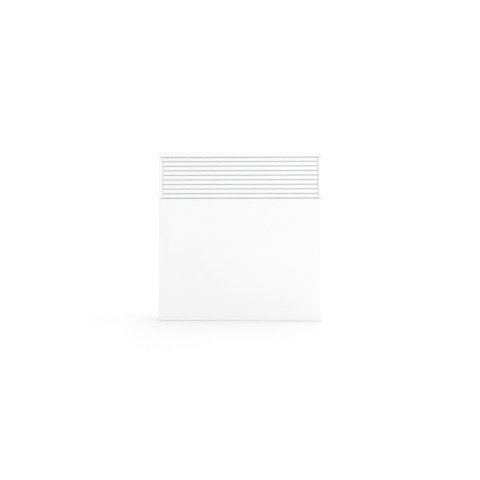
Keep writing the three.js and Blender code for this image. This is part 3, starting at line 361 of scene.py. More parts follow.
def placed(name, bm, body, slot, stands_for=(), soft=0.0, sharp=30, looks=()):
    """Makes the finished piece, which rides on its body and stands for its nodes. It has its slot's material
    unless other looks are named."""
    mesh = bpy.data.meshes.new(name)
    bm.to_mesh(mesh)
    bm.free()
    for look in looks or (slot,):
        mesh.materials.append(bpy.data.materials[look])
    mesh.shade_smooth()
    mesh.set_sharp_from_angle(angle=math.radians(sharp))
    piece = bpy.data.objects.new(name, mesh)
    bpy.context.scene.collection.objects.link(piece)
    if soft > 0:
        bevel = piece.modifiers.new("Soft edges", "BEVEL")
        bevel.width = soft
        bevel.segments = 2
        bevel.limit_method = "ANGLE"
        bevel.angle_limit = math.radians(sharp)
        bevel.use_clamp_overlap = True
        even = piece.modifiers.new("Even shading", "WEIGHTED_NORMAL")
        even.keep_sharp = True
    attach(piece, body)
    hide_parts(*stands_for)


# Shared effects: each group gives colours, masks and heights to the materials below

def fill(tree, made, inputs):
    """Gives inputs of a node their fixed values, or the sockets that feed them."""
    for key, value in inputs.items():
        if isinstance(value, bpy.types.NodeSocket):
            tree.links.new(value, made.inputs[key])
        else:
            made.inputs[key].default_value = value


def node(tree, kind, inputs=None, **settings):
    """A new node with its settings and inputs."""
    made = tree.nodes.new(kind)
    for key, value in settings.items():
        setattr(made, key, value)
    fill(tree, made, inputs or {})
    return made


def object_place(tree):
    """Object coordinates."""
    return node(tree, "ShaderNodeTexCoord").outputs["Object"]


def noise(tree, place, scale, detail, roughness):
    """A noise at a place."""
    inputs = {"Vector": place, "Scale": scale, "Detail": detail, "Roughness": roughness}
    return node(tree, "ShaderNodeTexNoise", inputs).outputs["Fac"]


def spread(tree, value, low, high, to_low=0.0, to_high=1.0):
    """Maps a range of a value to another range."""
    inputs = {"Value": value, "From Min": low, "From Max": high, "To Min": to_low, "To Max": to_high}
    return node(tree, "ShaderNodeMapRange", inputs).outputs["Result"]


def reckoned(tree, operation, first, second):
    """What a sum, product or the like of two values gives."""
    return node(tree, "ShaderNodeMath", {0: first, 1: second}, operation=operation).outputs["Value"]


def mixed(tree, share, first, second):
    """A mix of two colours. A Mix node has its colours in the inputs 6 and 7 and the output 2."""
    return node(tree, "ShaderNodeMix", {"Factor": share, 6: first, 7: second}, data_type="RGBA").outputs[2]


def effect_group(name, inputs, outputs):
    """A node group with named inputs, each with its default, and named values as outputs. Returns the group,
    its object coordinates, its inputs and its outputs."""
    group = bpy.data.node_groups.new(name, "ShaderNodeTree")
    for label, default in inputs.items():
        kind = "NodeSocketVector" if isinstance(default, tuple) else "NodeSocketFloat"
        group.interface.new_socket(label, in_out="INPUT", socket_type=kind).default_value = default
    for label in outputs:
        group.interface.new_socket(label, in_out="OUTPUT", socket_type="NodeSocketFloat")
    given = group.nodes.new("NodeGroupInput").outputs
    result = group.nodes.new("NodeGroupOutput")
    return group, object_place(group), given, result


def orange_peel_group():
    """The fine waves of a baked powder coat, with a faint unevenness of its tone."""
    inputs = {"Wave Scale": 700.0, "Patch Scale": 9.0}
    group, place, given, result = effect_group("Orange peel", inputs, ("Height", "Patches"))
    waves = noise(group, place, given["Wave Scale"], 1.5, 0.45)
    patches = noise(group, place, given["Patch Scale"], 3.0, 0.55)
    fill(group, result, {"Height": waves, "Patches": spread(group, patches, 0.35, 0.68)})


def settled_dust_group():
    """Fine dust that lies on faces that look up, in soft patches."""
    inputs = {"Patch Scale": 60.0, "Amount": 0.15}
    group, place, given, result = effect_group("Settled dust", inputs, ("Dust",))
    normal = node(group, "ShaderNodeNewGeometry").outputs["Normal"]
    turn = node(group, "ShaderNodeSeparateXYZ", {"Vector": normal})
    upward = spread(group, turn.outputs["Z"], 0.55, 0.95)
    patches = spread(group, noise(group, place, given["Patch Scale"], 4.0, 0.6), 0.38, 0.70)
    cover = reckoned(group, "MULTIPLY", upward, patches)
    fill(group, result, {"Dust": reckoned(group, "MULTIPLY", cover, given["Amount"])})


def spangle_group():
    """The crystals of hot-dip zinc, each with its own tone and raised borders, and slow stains."""
    inputs = {"Crystal Scale": 170.0, "Stain Scale": 22.0}
    group, place, given, result = effect_group("Zinc spangle", inputs, ("Crystals", "Stains", "Height"))
    grid = {"Vector": place, "Scale": given["Crystal Scale"]}
    cells = node(group, "ShaderNodeTexVoronoi", grid, feature="F1")
    tone = node(group, "ShaderNodeSeparateColor", {"Color": cells.outputs["Color"]})
    stains = noise(group, place, given["Stain Scale"], 4.0, 0.6)
    fill(group, result, {
        "Crystals": tone.outputs["Red"],
        "Stains": spread(group, stains, 0.40, 0.72),
        "Height": cells.outputs["Distance"],
    })


def rolled_grain_group():
    """Fine lines along the rolling or drawing direction of a bare metal."""
    inputs = {"Stretch": (1.0, 40.0, 40.0), "Stain Scale": 18.0}
    group, place, given, result = effect_group("Rolled grain", inputs, ("Grain", "Stains"))
    drawn = node(group, "ShaderNodeMapping", {"Vector": place, "Scale": given["Stretch"]}).outputs["Vector"]
    stains = noise(group, place, given["Stain Scale"], 3.0, 0.55)
    grain = noise(group, drawn, 60.0, 4.0, 0.6)
    fill(group, result, {"Grain": grain, "Stains": spread(group, stains, 0.36, 0.70)})


def moulded_grain_group():
    """The eroded grain of a moulding tool, and a slow change of gloss over the moulding."""
    inputs = {"Grain Scale": 2600.0, "Gloss Scale": 55.0}
    group, place, given, result = effect_group("Moulded grain", inputs, ("Height", "Gloss"))
    grain = noise(group, place, given["Grain Scale"], 2.0, 0.5)
    gloss = noise(group, place, given["Gloss Scale"], 3.0, 0.5)
    fill(group, result, {"Height": grain, "Gloss": spread(group, gloss, 0.35, 0.68)})


# Finishes

LENGTHWAYS = (1.0, 40.0, 40.0)
UPRIGHT = (40.0, 40.0, 1.0)
ALL_WAYS = (12.0, 12.0, 12.0)
DUST_ON_PAINT = (0.62, 0.60, 0.57, 1.0)
DUST_ON_PLASTIC = (0.55, 0.53, 0.50, 1.0)
RUST_STAIN = (0.34, 0.25, 0.17, 1.0)
EARTH_GREEN = (0.05, 0.22, 0.04, 1.0)
EARTH_YELLOW = (0.75, 0.60, 0.04, 1.0)


def toned(colour, factor=1.0):
    """A colour with alpha, made lighter or darker by a factor."""
    return (*[min(1.0, part * factor) for part in colour], 1.0)


class Finish:
    """A material under work: its tree, its Principled BSDF and its groups."""

    def __init__(self, name):
        self.material = bpy.data.materials.new(name)
        self.material.use_nodes = True
        self.tree = self.material.node_tree
        self.shader = self.tree.nodes["Principled BSDF"]

    def effect(self, group, inputs=None):
        """Places a shared group and returns its outputs."""
        return node(self.tree, "ShaderNodeGroup", inputs, node_tree=bpy.data.node_groups[group]).outputs

    def feed(self, label, value):
        """Gives an input of the shader a fixed value or the socket that feeds it."""
        fill(self.tree, self.shader, {label: value})

    def colour(self, share, first, second):
        """Mixes the base colour."""
        self.feed("Base Color", mixed(self.tree, share, first, second))

    def roughness(self, value, low, high, rough):
        """Spreads the roughness over a range as a value goes from low to high."""
        self.feed("Roughness", spread(self.tree, value, low, high, *rough))

    def bump(self, height, strength, distance):
        """Raises fine relief."""
        inputs = {"Height": height, "Strength": strength, "Distance": distance}
        self.feed("Normal", node(self.tree, "ShaderNodeBump", inputs).outputs["Normal"])


def powder_coat_finish(name, colour):
    """Satin white powder coat with fine orange peel and a little dust on upper faces."""
    finish = Finish(name)
    peel = finish.effect("Orange peel")
    dust = finish.effect("Settled dust", {"Amount": 0.10})
    paint = mixed(finish.tree, peel["Patches"], toned(colour), toned(colour, 0.985))
    finish.colour(dust["Dust"], paint, DUST_ON_PAINT)
    finish.roughness(peel["Patches"], 0.0, 1.0, (0.40, 0.47))
    finish.bump(peel["Height"], 0.16, 0.00006)
    finish.feed("Specular IOR Level", 0.45)


def zinc_sheet_finish(name, colour, crystals=170.0):
    """Galvanised sheet with spangle and dull stains."""
    finish = Finish(name)
    spangle = finish.effect("Zinc spangle", {"Crystal Scale": crystals})
    bright = mixed(finish.tree, spangle["Crystals"], toned(colour, 0.74), toned(colour, 1.20))
    finish.colour(spangle["Stains"], bright, toned(colour, 0.78))
    finish.roughness(spangle["Crystals"], 0.0, 1.0, (0.34, 0.52))
    finish.bump(spangle["Height"], 0.12, 0.0001)
    finish.feed("Metallic", 0.92)


def rolled_metal_finish(name, colour, stretch, rough=(0.26, 0.42), stain=0.9, stain_colour=None):
    """Bare metal with grain along one direction, and slow stains towards a second tone."""
    finish = Finish(name)
    rolled = finish.effect("Rolled grain", {"Stretch": stretch})
    bright = mixed(finish.tree, rolled["Grain"], toned(colour, 0.93), toned(colour, 1.07))
    finish.colour(rolled["Stains"], bright, stain_colour or toned(colour, stain))
    finish.roughness(rolled["Grain"], 0.25, 0.75, rough)
    finish.bump(rolled["Grain"], 0.10, 0.00004)
    finish.feed("Metallic", 1.0)


def moulded_finish(name, colour, rough=(0.38, 0.50), grain=2600.0, depth=0.12, dust_amount=0.06):
    """Moulded plastic, rubber, ceramic or print with an eroded grain and a little dust."""
    finish = Finish(name)
    moulded = finish.effect("Moulded grain", {"Grain Scale": grain})
    dust = finish.effect("Settled dust", {"Amount": dust_amount, "Patch Scale": 140.0})
    tone = mixed(finish.tree, moulded["Gloss"], toned(colour), toned(colour, 0.93))
    finish.colour(dust["Dust"], tone, DUST_ON_PLASTIC)
    finish.roughness(moulded["Gloss"], 0.0, 1.0, rough)
    finish.bump(moulded["Height"], depth, 0.00004)


def lens_finish(name, colour):
    """Clear red lens, a little frosted inside."""
    finish = Finish(name)
    frost = finish.effect("Moulded grain", {"Grain Scale": 900.0, "Gloss Scale": 300.0})
    finish.colour(frost["Gloss"], toned(colour), toned(colour, 1.3))
    finish.roughness(frost["Gloss"], 0.0, 1.0, (0.08, 0.16))
    finish.bump(frost["Height"], 0.04, 0.00003)
    for label, value in (("Transmission Weight", 0.35), ("Coat Weight", 0.6), ("IOR", 1.49)):
        finish.feed(label, value)


def earth_insulation_finish(name):
    """Green insulation with yellow stripes along the lead."""
    finish = Finish(name)
    inputs = {"Vector": object_place(finish.tree), "Scale": 130.0, "Distortion": 0.6}
    stripes = node(finish.tree, "ShaderNodeTexWave", inputs, bands_direction="Y")
    finish.colour(spread(finish.tree, stripes.outputs["Fac"], 0.45, 0.55), EARTH_GREEN, EARTH_YELLOW)
    finish.roughness(finish.effect("Moulded grain")["Gloss"], 0.0, 1.0, (0.42, 0.55))


def braided_finish(name, colour):
    """Glass-fibre sleeve of a lead that runs near the element."""
    finish = Finish(name)
    inputs = {"Vector": object_place(finish.tree), "Scale": 2400.0}
    weave = node(finish.tree, "ShaderNodeTexChecker", inputs).outputs["Fac"]
    finish.colour(weave, toned(colour), toned(colour, 0.82))
    finish.roughness(finish.effect("Moulded grain")["Gloss"], 0.0, 1.0, (0.6, 0.8))
    finish.bump(weave, 0.3, 0.0001)


def make_finishes(colours):
    """Builds the groups and every material, in place of the plain ones that came with the solids.
    A material has its slot's name, apart from printed marks."""
    for plain in list(bpy.data.materials):
        bpy.data.materials.remove(plain)
    orange_peel_group()
    settled_dust_group()
    spangle_group()
    rolled_grain_group()
    moulded_grain_group()
    powder_coat_finish("white_powder_coat", colours.powder)
    zinc_sheet_finish("galvanised_sheet", colours.zinc)
    zinc_sheet_finish("bracket_zinc", colours.zinc, crystals=120.0)
    rolled_metal_finish("bright_aluminium_sheet", colours.aluminium, LENGTHWAYS, (0.16, 0.30))
    rolled_metal_finish("element_aluminium", colours.aluminium, LENGTHWAYS, (0.30, 0.46), 0.82)
    rolled_metal_finish(
        "sheath_steel", (0.46, 0.45, 0.43), LENGTHWAYS, (0.24, 0.40), stain_colour=RUST_STAIN
    )
    rolled_metal_finish("zinc_screw", (0.60, 0.61, 0.60), ALL_WAYS, (0.22, 0.36))
    rolled_metal_finish("terminal_brass", (0.68, 0.50, 0.22), ALL_WAYS, (0.24, 0.38))
    rolled_metal_finish("capillary_copper", (0.66, 0.36, 0.22), UPRIGHT, (0.26, 0.44), 0.75)
    moulded_finish("bush_ceramic", (0.78, 0.75, 0.68), (0.50, 0.66), grain=1400.0)
    moulded_finish("black_moulding", (0.022, 0.023, 0.025), (0.34, 0.46), depth=0.2)
    moulded_finish("grommet_rubber", (0.030, 0.030, 0.030), (0.60, 0.75))
    moulded_finish("tray_plastic", colours.tray, (0.46, 0.58), depth=0.25)
    moulded_finish("knob_plastic", colours.knob, (0.30, 0.40), dust_amount=0.03)
    moulded_finish("white_moulding", (0.76, 0.76, 0.73), (0.36, 0.48))
    moulded_finish("live_insulation", (0.13, 0.055, 0.025), (0.42, 0.55))
    moulded_finish("neutral_insulation", (0.025, 0.10, 0.38), (0.42, 0.55))
    moulded_finish("pale_print", (0.80, 0.80, 0.78), (0.50, 0.60))
    moulded_finish("dark_print", (0.06, 0.06, 0.065), (0.50, 0.60))
    lens_finish("lens_plastic", colours.lens)
    earth_insulation_finish("earth_insulation")
    braided_finish("high_temperature_insulation", (0.78, 0.76, 0.70))


def dress_nodes():
    """Gives each CAD node the material of its record slot."""
    for entry in frame["record"]["subparts"]:
        for place in NODES[entry["node"]].material_slots:
            place.material = bpy.data.materials[entry["material_slot"]]


# Casing

def sheet_through(corners, step):
    """A sheet of flat faces between corner points, pushed along one step. The points are its outer line."""
    bm = bmesh.new()
    line = [bm.verts.new(corner) for corner in corners]
    edges = [bm.edges.new(pair) for pair in zip(line, line[1:])]
    pushed_edges(bm, edges, step)
    return bm


def channel_line(first_x, second_x, open_y, closed_y, level):
    """The corners of a channel seen from above: in along one side, across, and out along the other."""
    line = ((first_x, open_y), (first_x, closed_y), (second_x, closed_y), (second_x, open_y))
    return [(x, y, level) for x, y in line]


def cut_across(bm, place, normal, faces):
    """Cuts some faces with a plane and keeps both sides."""
    geom = [*faces, *{edge for face in faces for edge in face.edges}, *verts_of(faces)]
    bmesh.ops.bisect_plane(bm, geom=geom, plane_co=place, plane_no=normal, dist=1e-7)


def framed_faces(bm, axis, level, low, high):
    """Cuts a rectangle into a flat face, between corners along the other two axes, and returns its faces."""
    second = AXIS_Z if axis == AXIS_Y else AXIS_Y
    for place, normal in ((low[0], AXIS_X), (high[0], AXIS_X), (low[1], second), (high[1], second)):
        cut_across(bm, normal * place, normal, flat_faces(bm, axis, level))
    base = axis * (level - BESIDE) + AXIS_X * low[0] + second * low[1]
    far = axis * (level + BESIDE) + AXIS_X * high[0] + second * high[1]
    return faces_within(bm, base, far)


def cut_window(bm, axis, level, low, high):
    """Takes a rectangle out of a flat face."""
    bmesh.ops.delete(bm, geom=framed_faces(bm, axis, level, low, high), context="FACES")


def punched_round(bm, axis, level, centre, radius, stretch=0.0, segments=24):
    """Punches a hole in a flat face. A stretch makes it a slot, that much longer along its second axis."""
    along = AXIS_Z if axis == AXIS_Y else AXIS_Y
    middle = axis * level + AXIS_X * centre[0] + along * centre[1]
    margin = radius * 1.2
    reach = margin + stretch / 2
    low = (centre[0] - margin, centre[1] - reach)
    high = (centre[0] + margin, centre[1] + reach)
    [cell] = framed_faces(bm, axis, level, low, high)
    rim = list(cell.edges)
    bmesh.ops.delete(bm, geom=[cell], context="FACES_ONLY")
    turn = Matrix.Rotation(math.pi / 2, 4, "X") if axis == AXIS_Y else Matrix.Identity(4)
    ring = circle(bm, radius, segments, Matrix.Translation(middle) @ turn)
    for vert in ring:
        side = (vert.co - middle).dot(along)
        if abs(side) > radius * 0.01:
            vert.co += along * math.copysign(stretch / 2, side)
    bmesh.ops.triangle_fill(bm, edges=rim + edges_of(ring), use_beauty=True, use_dissolve=False, normal=axis)


def flange_from(bm, edges, steps, relief):
    """Folds a flange on from some edges, a step at a time, a little narrower than the cut it starts from."""
    for number, step in enumerate(steps):
        edges = pushed_edges(bm, edges, step)
        if number == 0:
            verts = verts_of(edges)
            half = max(abs(vert.co.x) for vert in verts)
            bmesh.ops.scale(bm, vec=((half - relief) / half, 1, 1), verts=verts)


def thickened(bm, outward, thickness):
    """Gives a sheet its thickness on the side away from `outward`, which its largest face tells."""
    merged(bm)
    even_normals(bm)
    guide = max(bm.faces, key=lambda face: abs(face.normal.dot(outward)) * face.calc_area())
    if guide.normal.dot(outward) < 0:
        bmesh.ops.reverse_faces(bm, faces=bm.faces[:])
    bmesh.ops.solidify(bm, geom=bm.faces[:], thickness=thickness)


def build_front_panel(sizes):
    """The flat front: folded back at both sides, hemmed at the top, folded into a channel at the bottom."""
    low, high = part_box("front_panel")
    bm = sheet_through(channel_line(low.x, high.x, high.y, low.y, low.z), AXIS_Z * (high.z - low.z))
    reach = high.x - 2 * sizes.bend
    low_cut = low.z + sizes.bend
    high_cut = high.z - sizes.bend
    cut_window(bm, AXIS_Y, low.y, (-reach, -FAR), (reach, low_cut))
    cut_window(bm, AXIS_Y, low.y, (-reach, high_cut), (reach, FAR))
    hem = [AXIS_Z * sizes.bend, AXIS_Y * sizes.hem]
    flange_from(bm, open_edges(bm, AXIS_Z, high_cut), hem, sizes.relief)
    grille_flange = 2 * (middle_of("inlet_screw_front_left").y - low.y - sizes.hem)
    channel = [AXIS_Z * -sizes.bend, AXIS_Y * sizes.hem, AXIS_Z * sizes.upstand, AXIS_Y * grille_flange]
    flange_from(bm, open_edges(bm, AXIS_Z, low_cut), channel, sizes.relief)
    merged(bm)
    round_folds(bm, AXIS_Z, sizes.bend, 8)
    round_folds(bm, AXIS_X, sizes.fold)
    thickened(bm, -AXIS_Y, sizes.sheet)
    placed("front_panel_sheet", bm, "casing", "white_powder_coat", ["front_panel"], sizes.cut_edge)


def build_outlet_frame(sizes, louvres):
    """The margins and cheeks at both ends of the louvres, with a rail above and a rail below."""
    low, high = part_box("outlet_frame")
    blade_low, blade_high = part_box("louvre_blade_1")
    opening = blade_high.x + FIT_GAP
    cheek = blade_low.y + louvres.cheek
    corners = [
        (high.x, high.y, low.z), (high.x, low.y, low.z), (opening, low.y, low.z), (opening, cheek, low.z)
    ]
    margin = sheet_through(corners, AXIS_Z * (high.z - low.z))
    round_folds(margin, AXIS_Z, sizes.bend, 8)
    thickened(margin, -AXIS_Y, sizes.sheet)
    whole = mirrored(margin)
    rails = ((low.z, low.y + louvres.rail_inset, AXIS_Z), (high.z, cheek - louvres.rail, -AXIS_Z))
    for level, front, inward in rails:
        rail = sheet_through([(-opening, front, level), (-opening, cheek, level)], AXIS_X * 2 * opening)
        thickened(rail, -inward, sizes.sheet)
        joined_into(whole, rail)
    placed("outlet_frame_sheet", whole, "casing", "white_powder_coat", ["outlet_frame"], sizes.cut_edge)


def build_louvre_blade(number, sizes, louvres):
    """One blade: a flat strip, folded back and up behind the slit above it."""
    name = f"louvre_blade_{number}"
    low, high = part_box(name)
    line = ((low.y + louvres.flange, high.z), (low.y, high.z - louvres.flange), (low.y, low.z))
    bm = sheet_through([(low.x, y, z) for y, z in line], AXIS_X * (high.x - low.x))
    round_folds(bm, AXIS_X, louvres.bend)
    thickened(bm, -AXIS_Y, sizes.sheet)
    placed(f"louvre_{number}", bm, "casing", "white_powder_coat", [name], sizes.cut_edge)


def build_top_cover(sizes, controls):
    """The cap that closes the casing, with rounded ends and edges and the opening for the controls."""
    low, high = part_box("top_cover")
    tray_low, tray_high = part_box("control_tray")
    bm = boxed(low, high)
    bmesh.ops.delete(bm, geom=flat_faces(bm, AXIS_Z, low.z), context="FACES_ONLY")
    round_folds(bm, AXIS_Y, sizes.cover_corner, 8)
    rims = [
        edge for edge in bm.edges
        if len(edge.link_faces) == 2
        and abs(edge.verts[0].co.y - edge.verts[1].co.y) < MERGE
        and any(abs(face.normal.y) > 0.9 for face in edge.link_faces)
    ]
    rounded(bm, rims, sizes.cover_edge, 5)
    lap = controls.flange
    hole_low = (tray_low.x + lap, tray_low.y + lap)
    hole_high = (tray_high.x - lap, tray_high.y - lap)
    cut_window(bm, AXIS_Z, high.z, hole_low, hole_high)
    thickened(bm, AXIS_Z, sizes.sheet)
    placed("top_cover_sheet", bm, "casing", "white_powder_coat", ["top_cover"], sizes.cut_edge)


def build_rear_housing(sizes, bracket):
    """The shallow pan behind: hook slots, cable hole, a bottom flange and two tabs for the cover."""
    low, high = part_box("rear_housing")
    back = high.y
    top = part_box("top_cover")[0].z - FIT_GAP
    bm = sheet_through(channel_line(high.x, low.x, low.y, back, low.z), AXIS_Z * (top - low.z))
    reach = high.x - sizes.bend
    low_cut = low.z + sizes.bend
    cut_window(bm, AXIS_Y, back, (-reach, -FAR), (reach, low_cut))
    depth = 2 * (back - sizes.sheet - middle_of("inlet_screw_rear_left").y)
    flange_from(bm, open_edges(bm, AXIS_Z, low_cut), [AXIS_Z * -sizes.bend, AXIS_Y * -depth], sizes.relief)
    hook_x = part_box("wall_bracket")[1].x - bracket.sheet / 2
    half_slot = 1.5 * bracket.sheet
    slot_height = JOINTS["lift_off"]["range_m"][1] + bracket.arm + sizes.slot_spare
    for level in (bracket.upper + FIT_GAP, bracket.lower + FIT_GAP):
        for place in (-hook_x, hook_x):
            slot_low = (place - half_slot, level - slot_height)
            cut_window(bm, AXIS_Y, back, slot_low, (place + half_slot, level))
    gland = middle_of("cable_gland")
    hole = half_width("cable_gland") - GLAND_COLLAR + sizes.hole_spare
    punched_round(bm, AXIS_Y, back, (gland.x, gland.z), hole)
    screw_x = middle_of("cover_screw_right").x
    half_tab = sizes.tab / 2
    for middle in (-screw_x, screw_x):
        for place in (middle - half_tab, middle + half_tab):
            cut_across(bm, AXIS_X * place, AXIS_X, flat_faces(bm, AXIS_Y, back))
        rim = [
            edge for edge in open_edges(bm, AXIS_Z, top)
            if lies_at(edge, AXIS_Y, back)
            and all(abs(vert.co.x - middle) < half_tab + NEAR for vert in edge.verts)
        ]
        jog = pushed_edges(bm, rim, Vector((0, -sizes.sheet - FIT_GAP, -sizes.tab_drop)))
        pushed_edges(bm, jog, AXIS_Z * (high.z - top + sizes.tab_drop))
    merged(bm)
    round_folds(bm, AXIS_Z, sizes.bend, 8)
    fold = [
        edge for edge in bm.edges
        if len(edge.link_faces) == 2 and abs(edge.calc_face_angle() - math.pi / 2) < 0.02
        and lies_at(edge, AXIS_Z, low.z) and lies_at(edge, AXIS_Y, back)
    ]
    rounded(bm, fold, sizes.fold, 6)
    thickened(bm, AXIS_Y, sizes.sheet)
    placed("rear_housing_sheet", bm, "casing", "white_powder_coat", ["rear_housing"], sizes.cut_edge)


def build_inlet_grille(sizes, grille):
    """The slotted plate under the element, with round-ended slots."""
    low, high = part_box("inlet_grille")
    bm = sheet_through([low, (low.x, high.y, low.z)], AXIS_X * (high.x - low.x))
    middle = (low.y + high.y) / 2
    for number in range(grille.slots):
        centre = ((number - (grille.slots - 1) / 2) * grille.pitch, middle)
        punched_round(bm, AXIS_Z, low.z, centre, grille.width / 2, grille.length - grille.width, 16)
    thickened(bm, -AXIS_Z, sizes.sheet)
    placed("inlet_grille_plate", bm, "casing", "galvanised_sheet", ["inlet_grille"], sizes.cut_edge)


def hook_plate(level, face, root, bracket):
    """One hook as a flat plate with rounded corners, beside the flange that carries it."""
    throat = root - bracket.throat
    tip = throat - bracket.tip
    foot = level - bracket.arm
    head = level + bracket.rise
    outline = ((root, foot), (root, level), (throat, level), (throat, head), (tip, head), (tip, foot))
    bm = bmesh.new()
    bm.faces.new([bm.verts.new((face, y, z)) for y, z in outline])
    bm.verts.ensure_lookup_table()
    rounded(bm, bm.verts[2:], bracket.arm / 4, 5, "VERTICES")
    thickened(bm, AXIS_X, bracket.sheet)
    return bm


def build_wall_bracket(sizes, bracket):
    """Two channels against the wall, a crossbar between them and two hooks on each channel."""
    low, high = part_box("wall_bracket")
    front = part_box("rear_housing")[1].y + FIT_GAP
    inner = high.x - bracket.channel
    fold = 2 * bracket.sheet
    channel = sheet_through(channel_line(high.x, inner, front, high.y, low.z), AXIS_Z * (high.z - low.z))
    for level in (high.z - bracket.hole_inset, low.z + bracket.hole_inset):
        punched_round(channel, AXIS_Y, high.y, ((high.x + inner) / 2, level), bracket.hole)
    round_folds(channel, AXIS_Z, fold)
    thickened(channel, AXIS_Y, bracket.sheet)
    for level in (bracket.upper, bracket.lower):
        joined_into(channel, hook_plate(level, high.x, front, bracket))
    whole = mirrored(channel)
    half = bracket.crossbar / 2
    depth = -bracket.crossbar_depth
    line = ((depth, -half), (0, -half), (0, half), (depth, half))
    bar = sheet_through([(-inner, y, z) for y, z in line], AXIS_X * 2 * inner)
    round_folds(bar, AXIS_X, fold)
    thickened(bar, AXIS_Y, bracket.sheet)
    joined_into(whole, bar)
    placed("wall_bracket_frame", whole, "wall_mount", "bracket_zinc", ["wall_bracket"], sizes.cut_edge)


# Controls in the top

def tray_floor(controls):
    """The level of the floor that the knob and the switch stand on."""
    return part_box("control_tray")[0].z + controls.floor


def rim_from(bm, edges, low, high, reach):
    """Pulls a flat rim from the open edges of a box, outwards or, with a negative reach, inwards."""
    far = pushed_edges(bm, edges, Vector((0, 0, 0)))
    size = high - low
    grow = Vector((1 + 2 * reach / size.x, 1 + 2 * reach / size.y, 1))
    bmesh.ops.scale(bm, vec=grow, space=Matrix.Translation(-(low + high) / 2), verts=verts_of(far))
    return far


def build_control_tray(controls):
    """The grey tub sunk into the cover, with rounded corners and an opening for the switch."""
    low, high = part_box("control_tray")
    housing_low, housing_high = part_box("switch_housing")
    rim = Vector((controls.flange, controls.flange, 0))
    inner_low = low + rim
    inner_high = high - rim
    floor = tray_floor(controls)
    bm = boxed((inner_low.x, inner_low.y, floor), inner_high)
    bmesh.ops.delete(bm, geom=flat_faces(bm, AXIS_Z, high.z), context="FACES_ONLY")
    round_folds(bm, AXIS_Z, controls.corner, 5)
    foot = [edge for edge in bm.edges if lies_at(edge, AXIS_Z, floor)]
    rounded(bm, foot, controls.corner / 2, 4)
    rim_from(bm, open_edges(bm, AXIS_Z, high.z), inner_low, inner_high, controls.flange)
    lap = controls.switch_lap
    hole_low = (housing_low.x + lap, housing_low.y + lap)
    hole_high = (housing_high.x - lap, housing_high.y - lap)
    cut_window(bm, AXIS_Z, floor, hole_low, hole_high)
    thickened(bm, AXIS_Z, controls.wall)
    placed("control_tub", bm, "casing", "tray_plastic", ["control_tray"], soft=0.0002)


# The height of a digit as a share of the typeface's size
CAPITAL_SHARE = 0.7


def mark_mesh(words, height, thickness):
    """A word or number as a thin raised print, centred on the origin and lying flat."""
    curve = bpy.data.curves.new("mark", "FONT")
    curve.body = words
    curve.size = height / CAPITAL_SHARE
    curve.align_x = "CENTER"
    curve.align_y = "CENTER"
    curve.extrude = thickness / 2
    curve.resolution_u = 6
    sign = bpy.data.objects.new("mark", curve)
    bpy.context.scene.collection.objects.link(sign)
    bpy.context.view_layer.update()
    evaluated = sign.evaluated_get(bpy.context.evaluated_depsgraph_get())
    mesh = bpy.data.meshes.new_from_object(evaluated)
    bpy.data.objects.remove(sign)
    bpy.data.curves.remove(curve)
    return mesh


def build_scale_marks(controls):
    """Numbers and ticks round the knob, printed on the floor of the tray. Seen from above they run clockwise
    from the front."""
    radius = half_width("thermostat_knob")
    sweep = math.radians(max(abs(limit) for limit in JOINTS["thermostat_turn"]["range_deg"]))
    half_print = controls.print_height / 2
    tick_length = 0.0011
    half_tick = 0.00025
    number_gap = 0.0016
    centre = middle_of("thermostat_knob")
    centre.z = tray_floor(controls) + half_print
    bm = bmesh.new()
    for number in range(2 * controls.steps + 1):
        angle = sweep * number / (2 * controls.steps)
        ray = Vector((-math.sin(angle), -math.cos(angle), 0))
        tick = boxed((-half_tick, 0, -half_print), (half_tick, tick_length, half_print))
        turn = Matrix.Rotation(math.pi - angle, 4, "Z")
        transformed(tick, Matrix.Translation(centre + ray * (radius + FIT_GAP)) @ turn)
        joined_into(bm, tick)
        if number % 2 == 0:
            mesh = mark_mesh(str(number // 2), controls.numeral, controls.print_height)
            ring = radius + 0.65 * controls.numeral + number_gap
            mesh.transform(Matrix.Translation(centre + ray * ring))
            bm.from_mesh(mesh)
            bpy.data.meshes.remove(mesh)
    placed("scale_marks", bm, "casing", "knob_plastic", looks=["pale_print"])


# How deep each of a flute's four steps is, as a share of its depth
FLUTE = (0, 0.5, 1, 0.5)


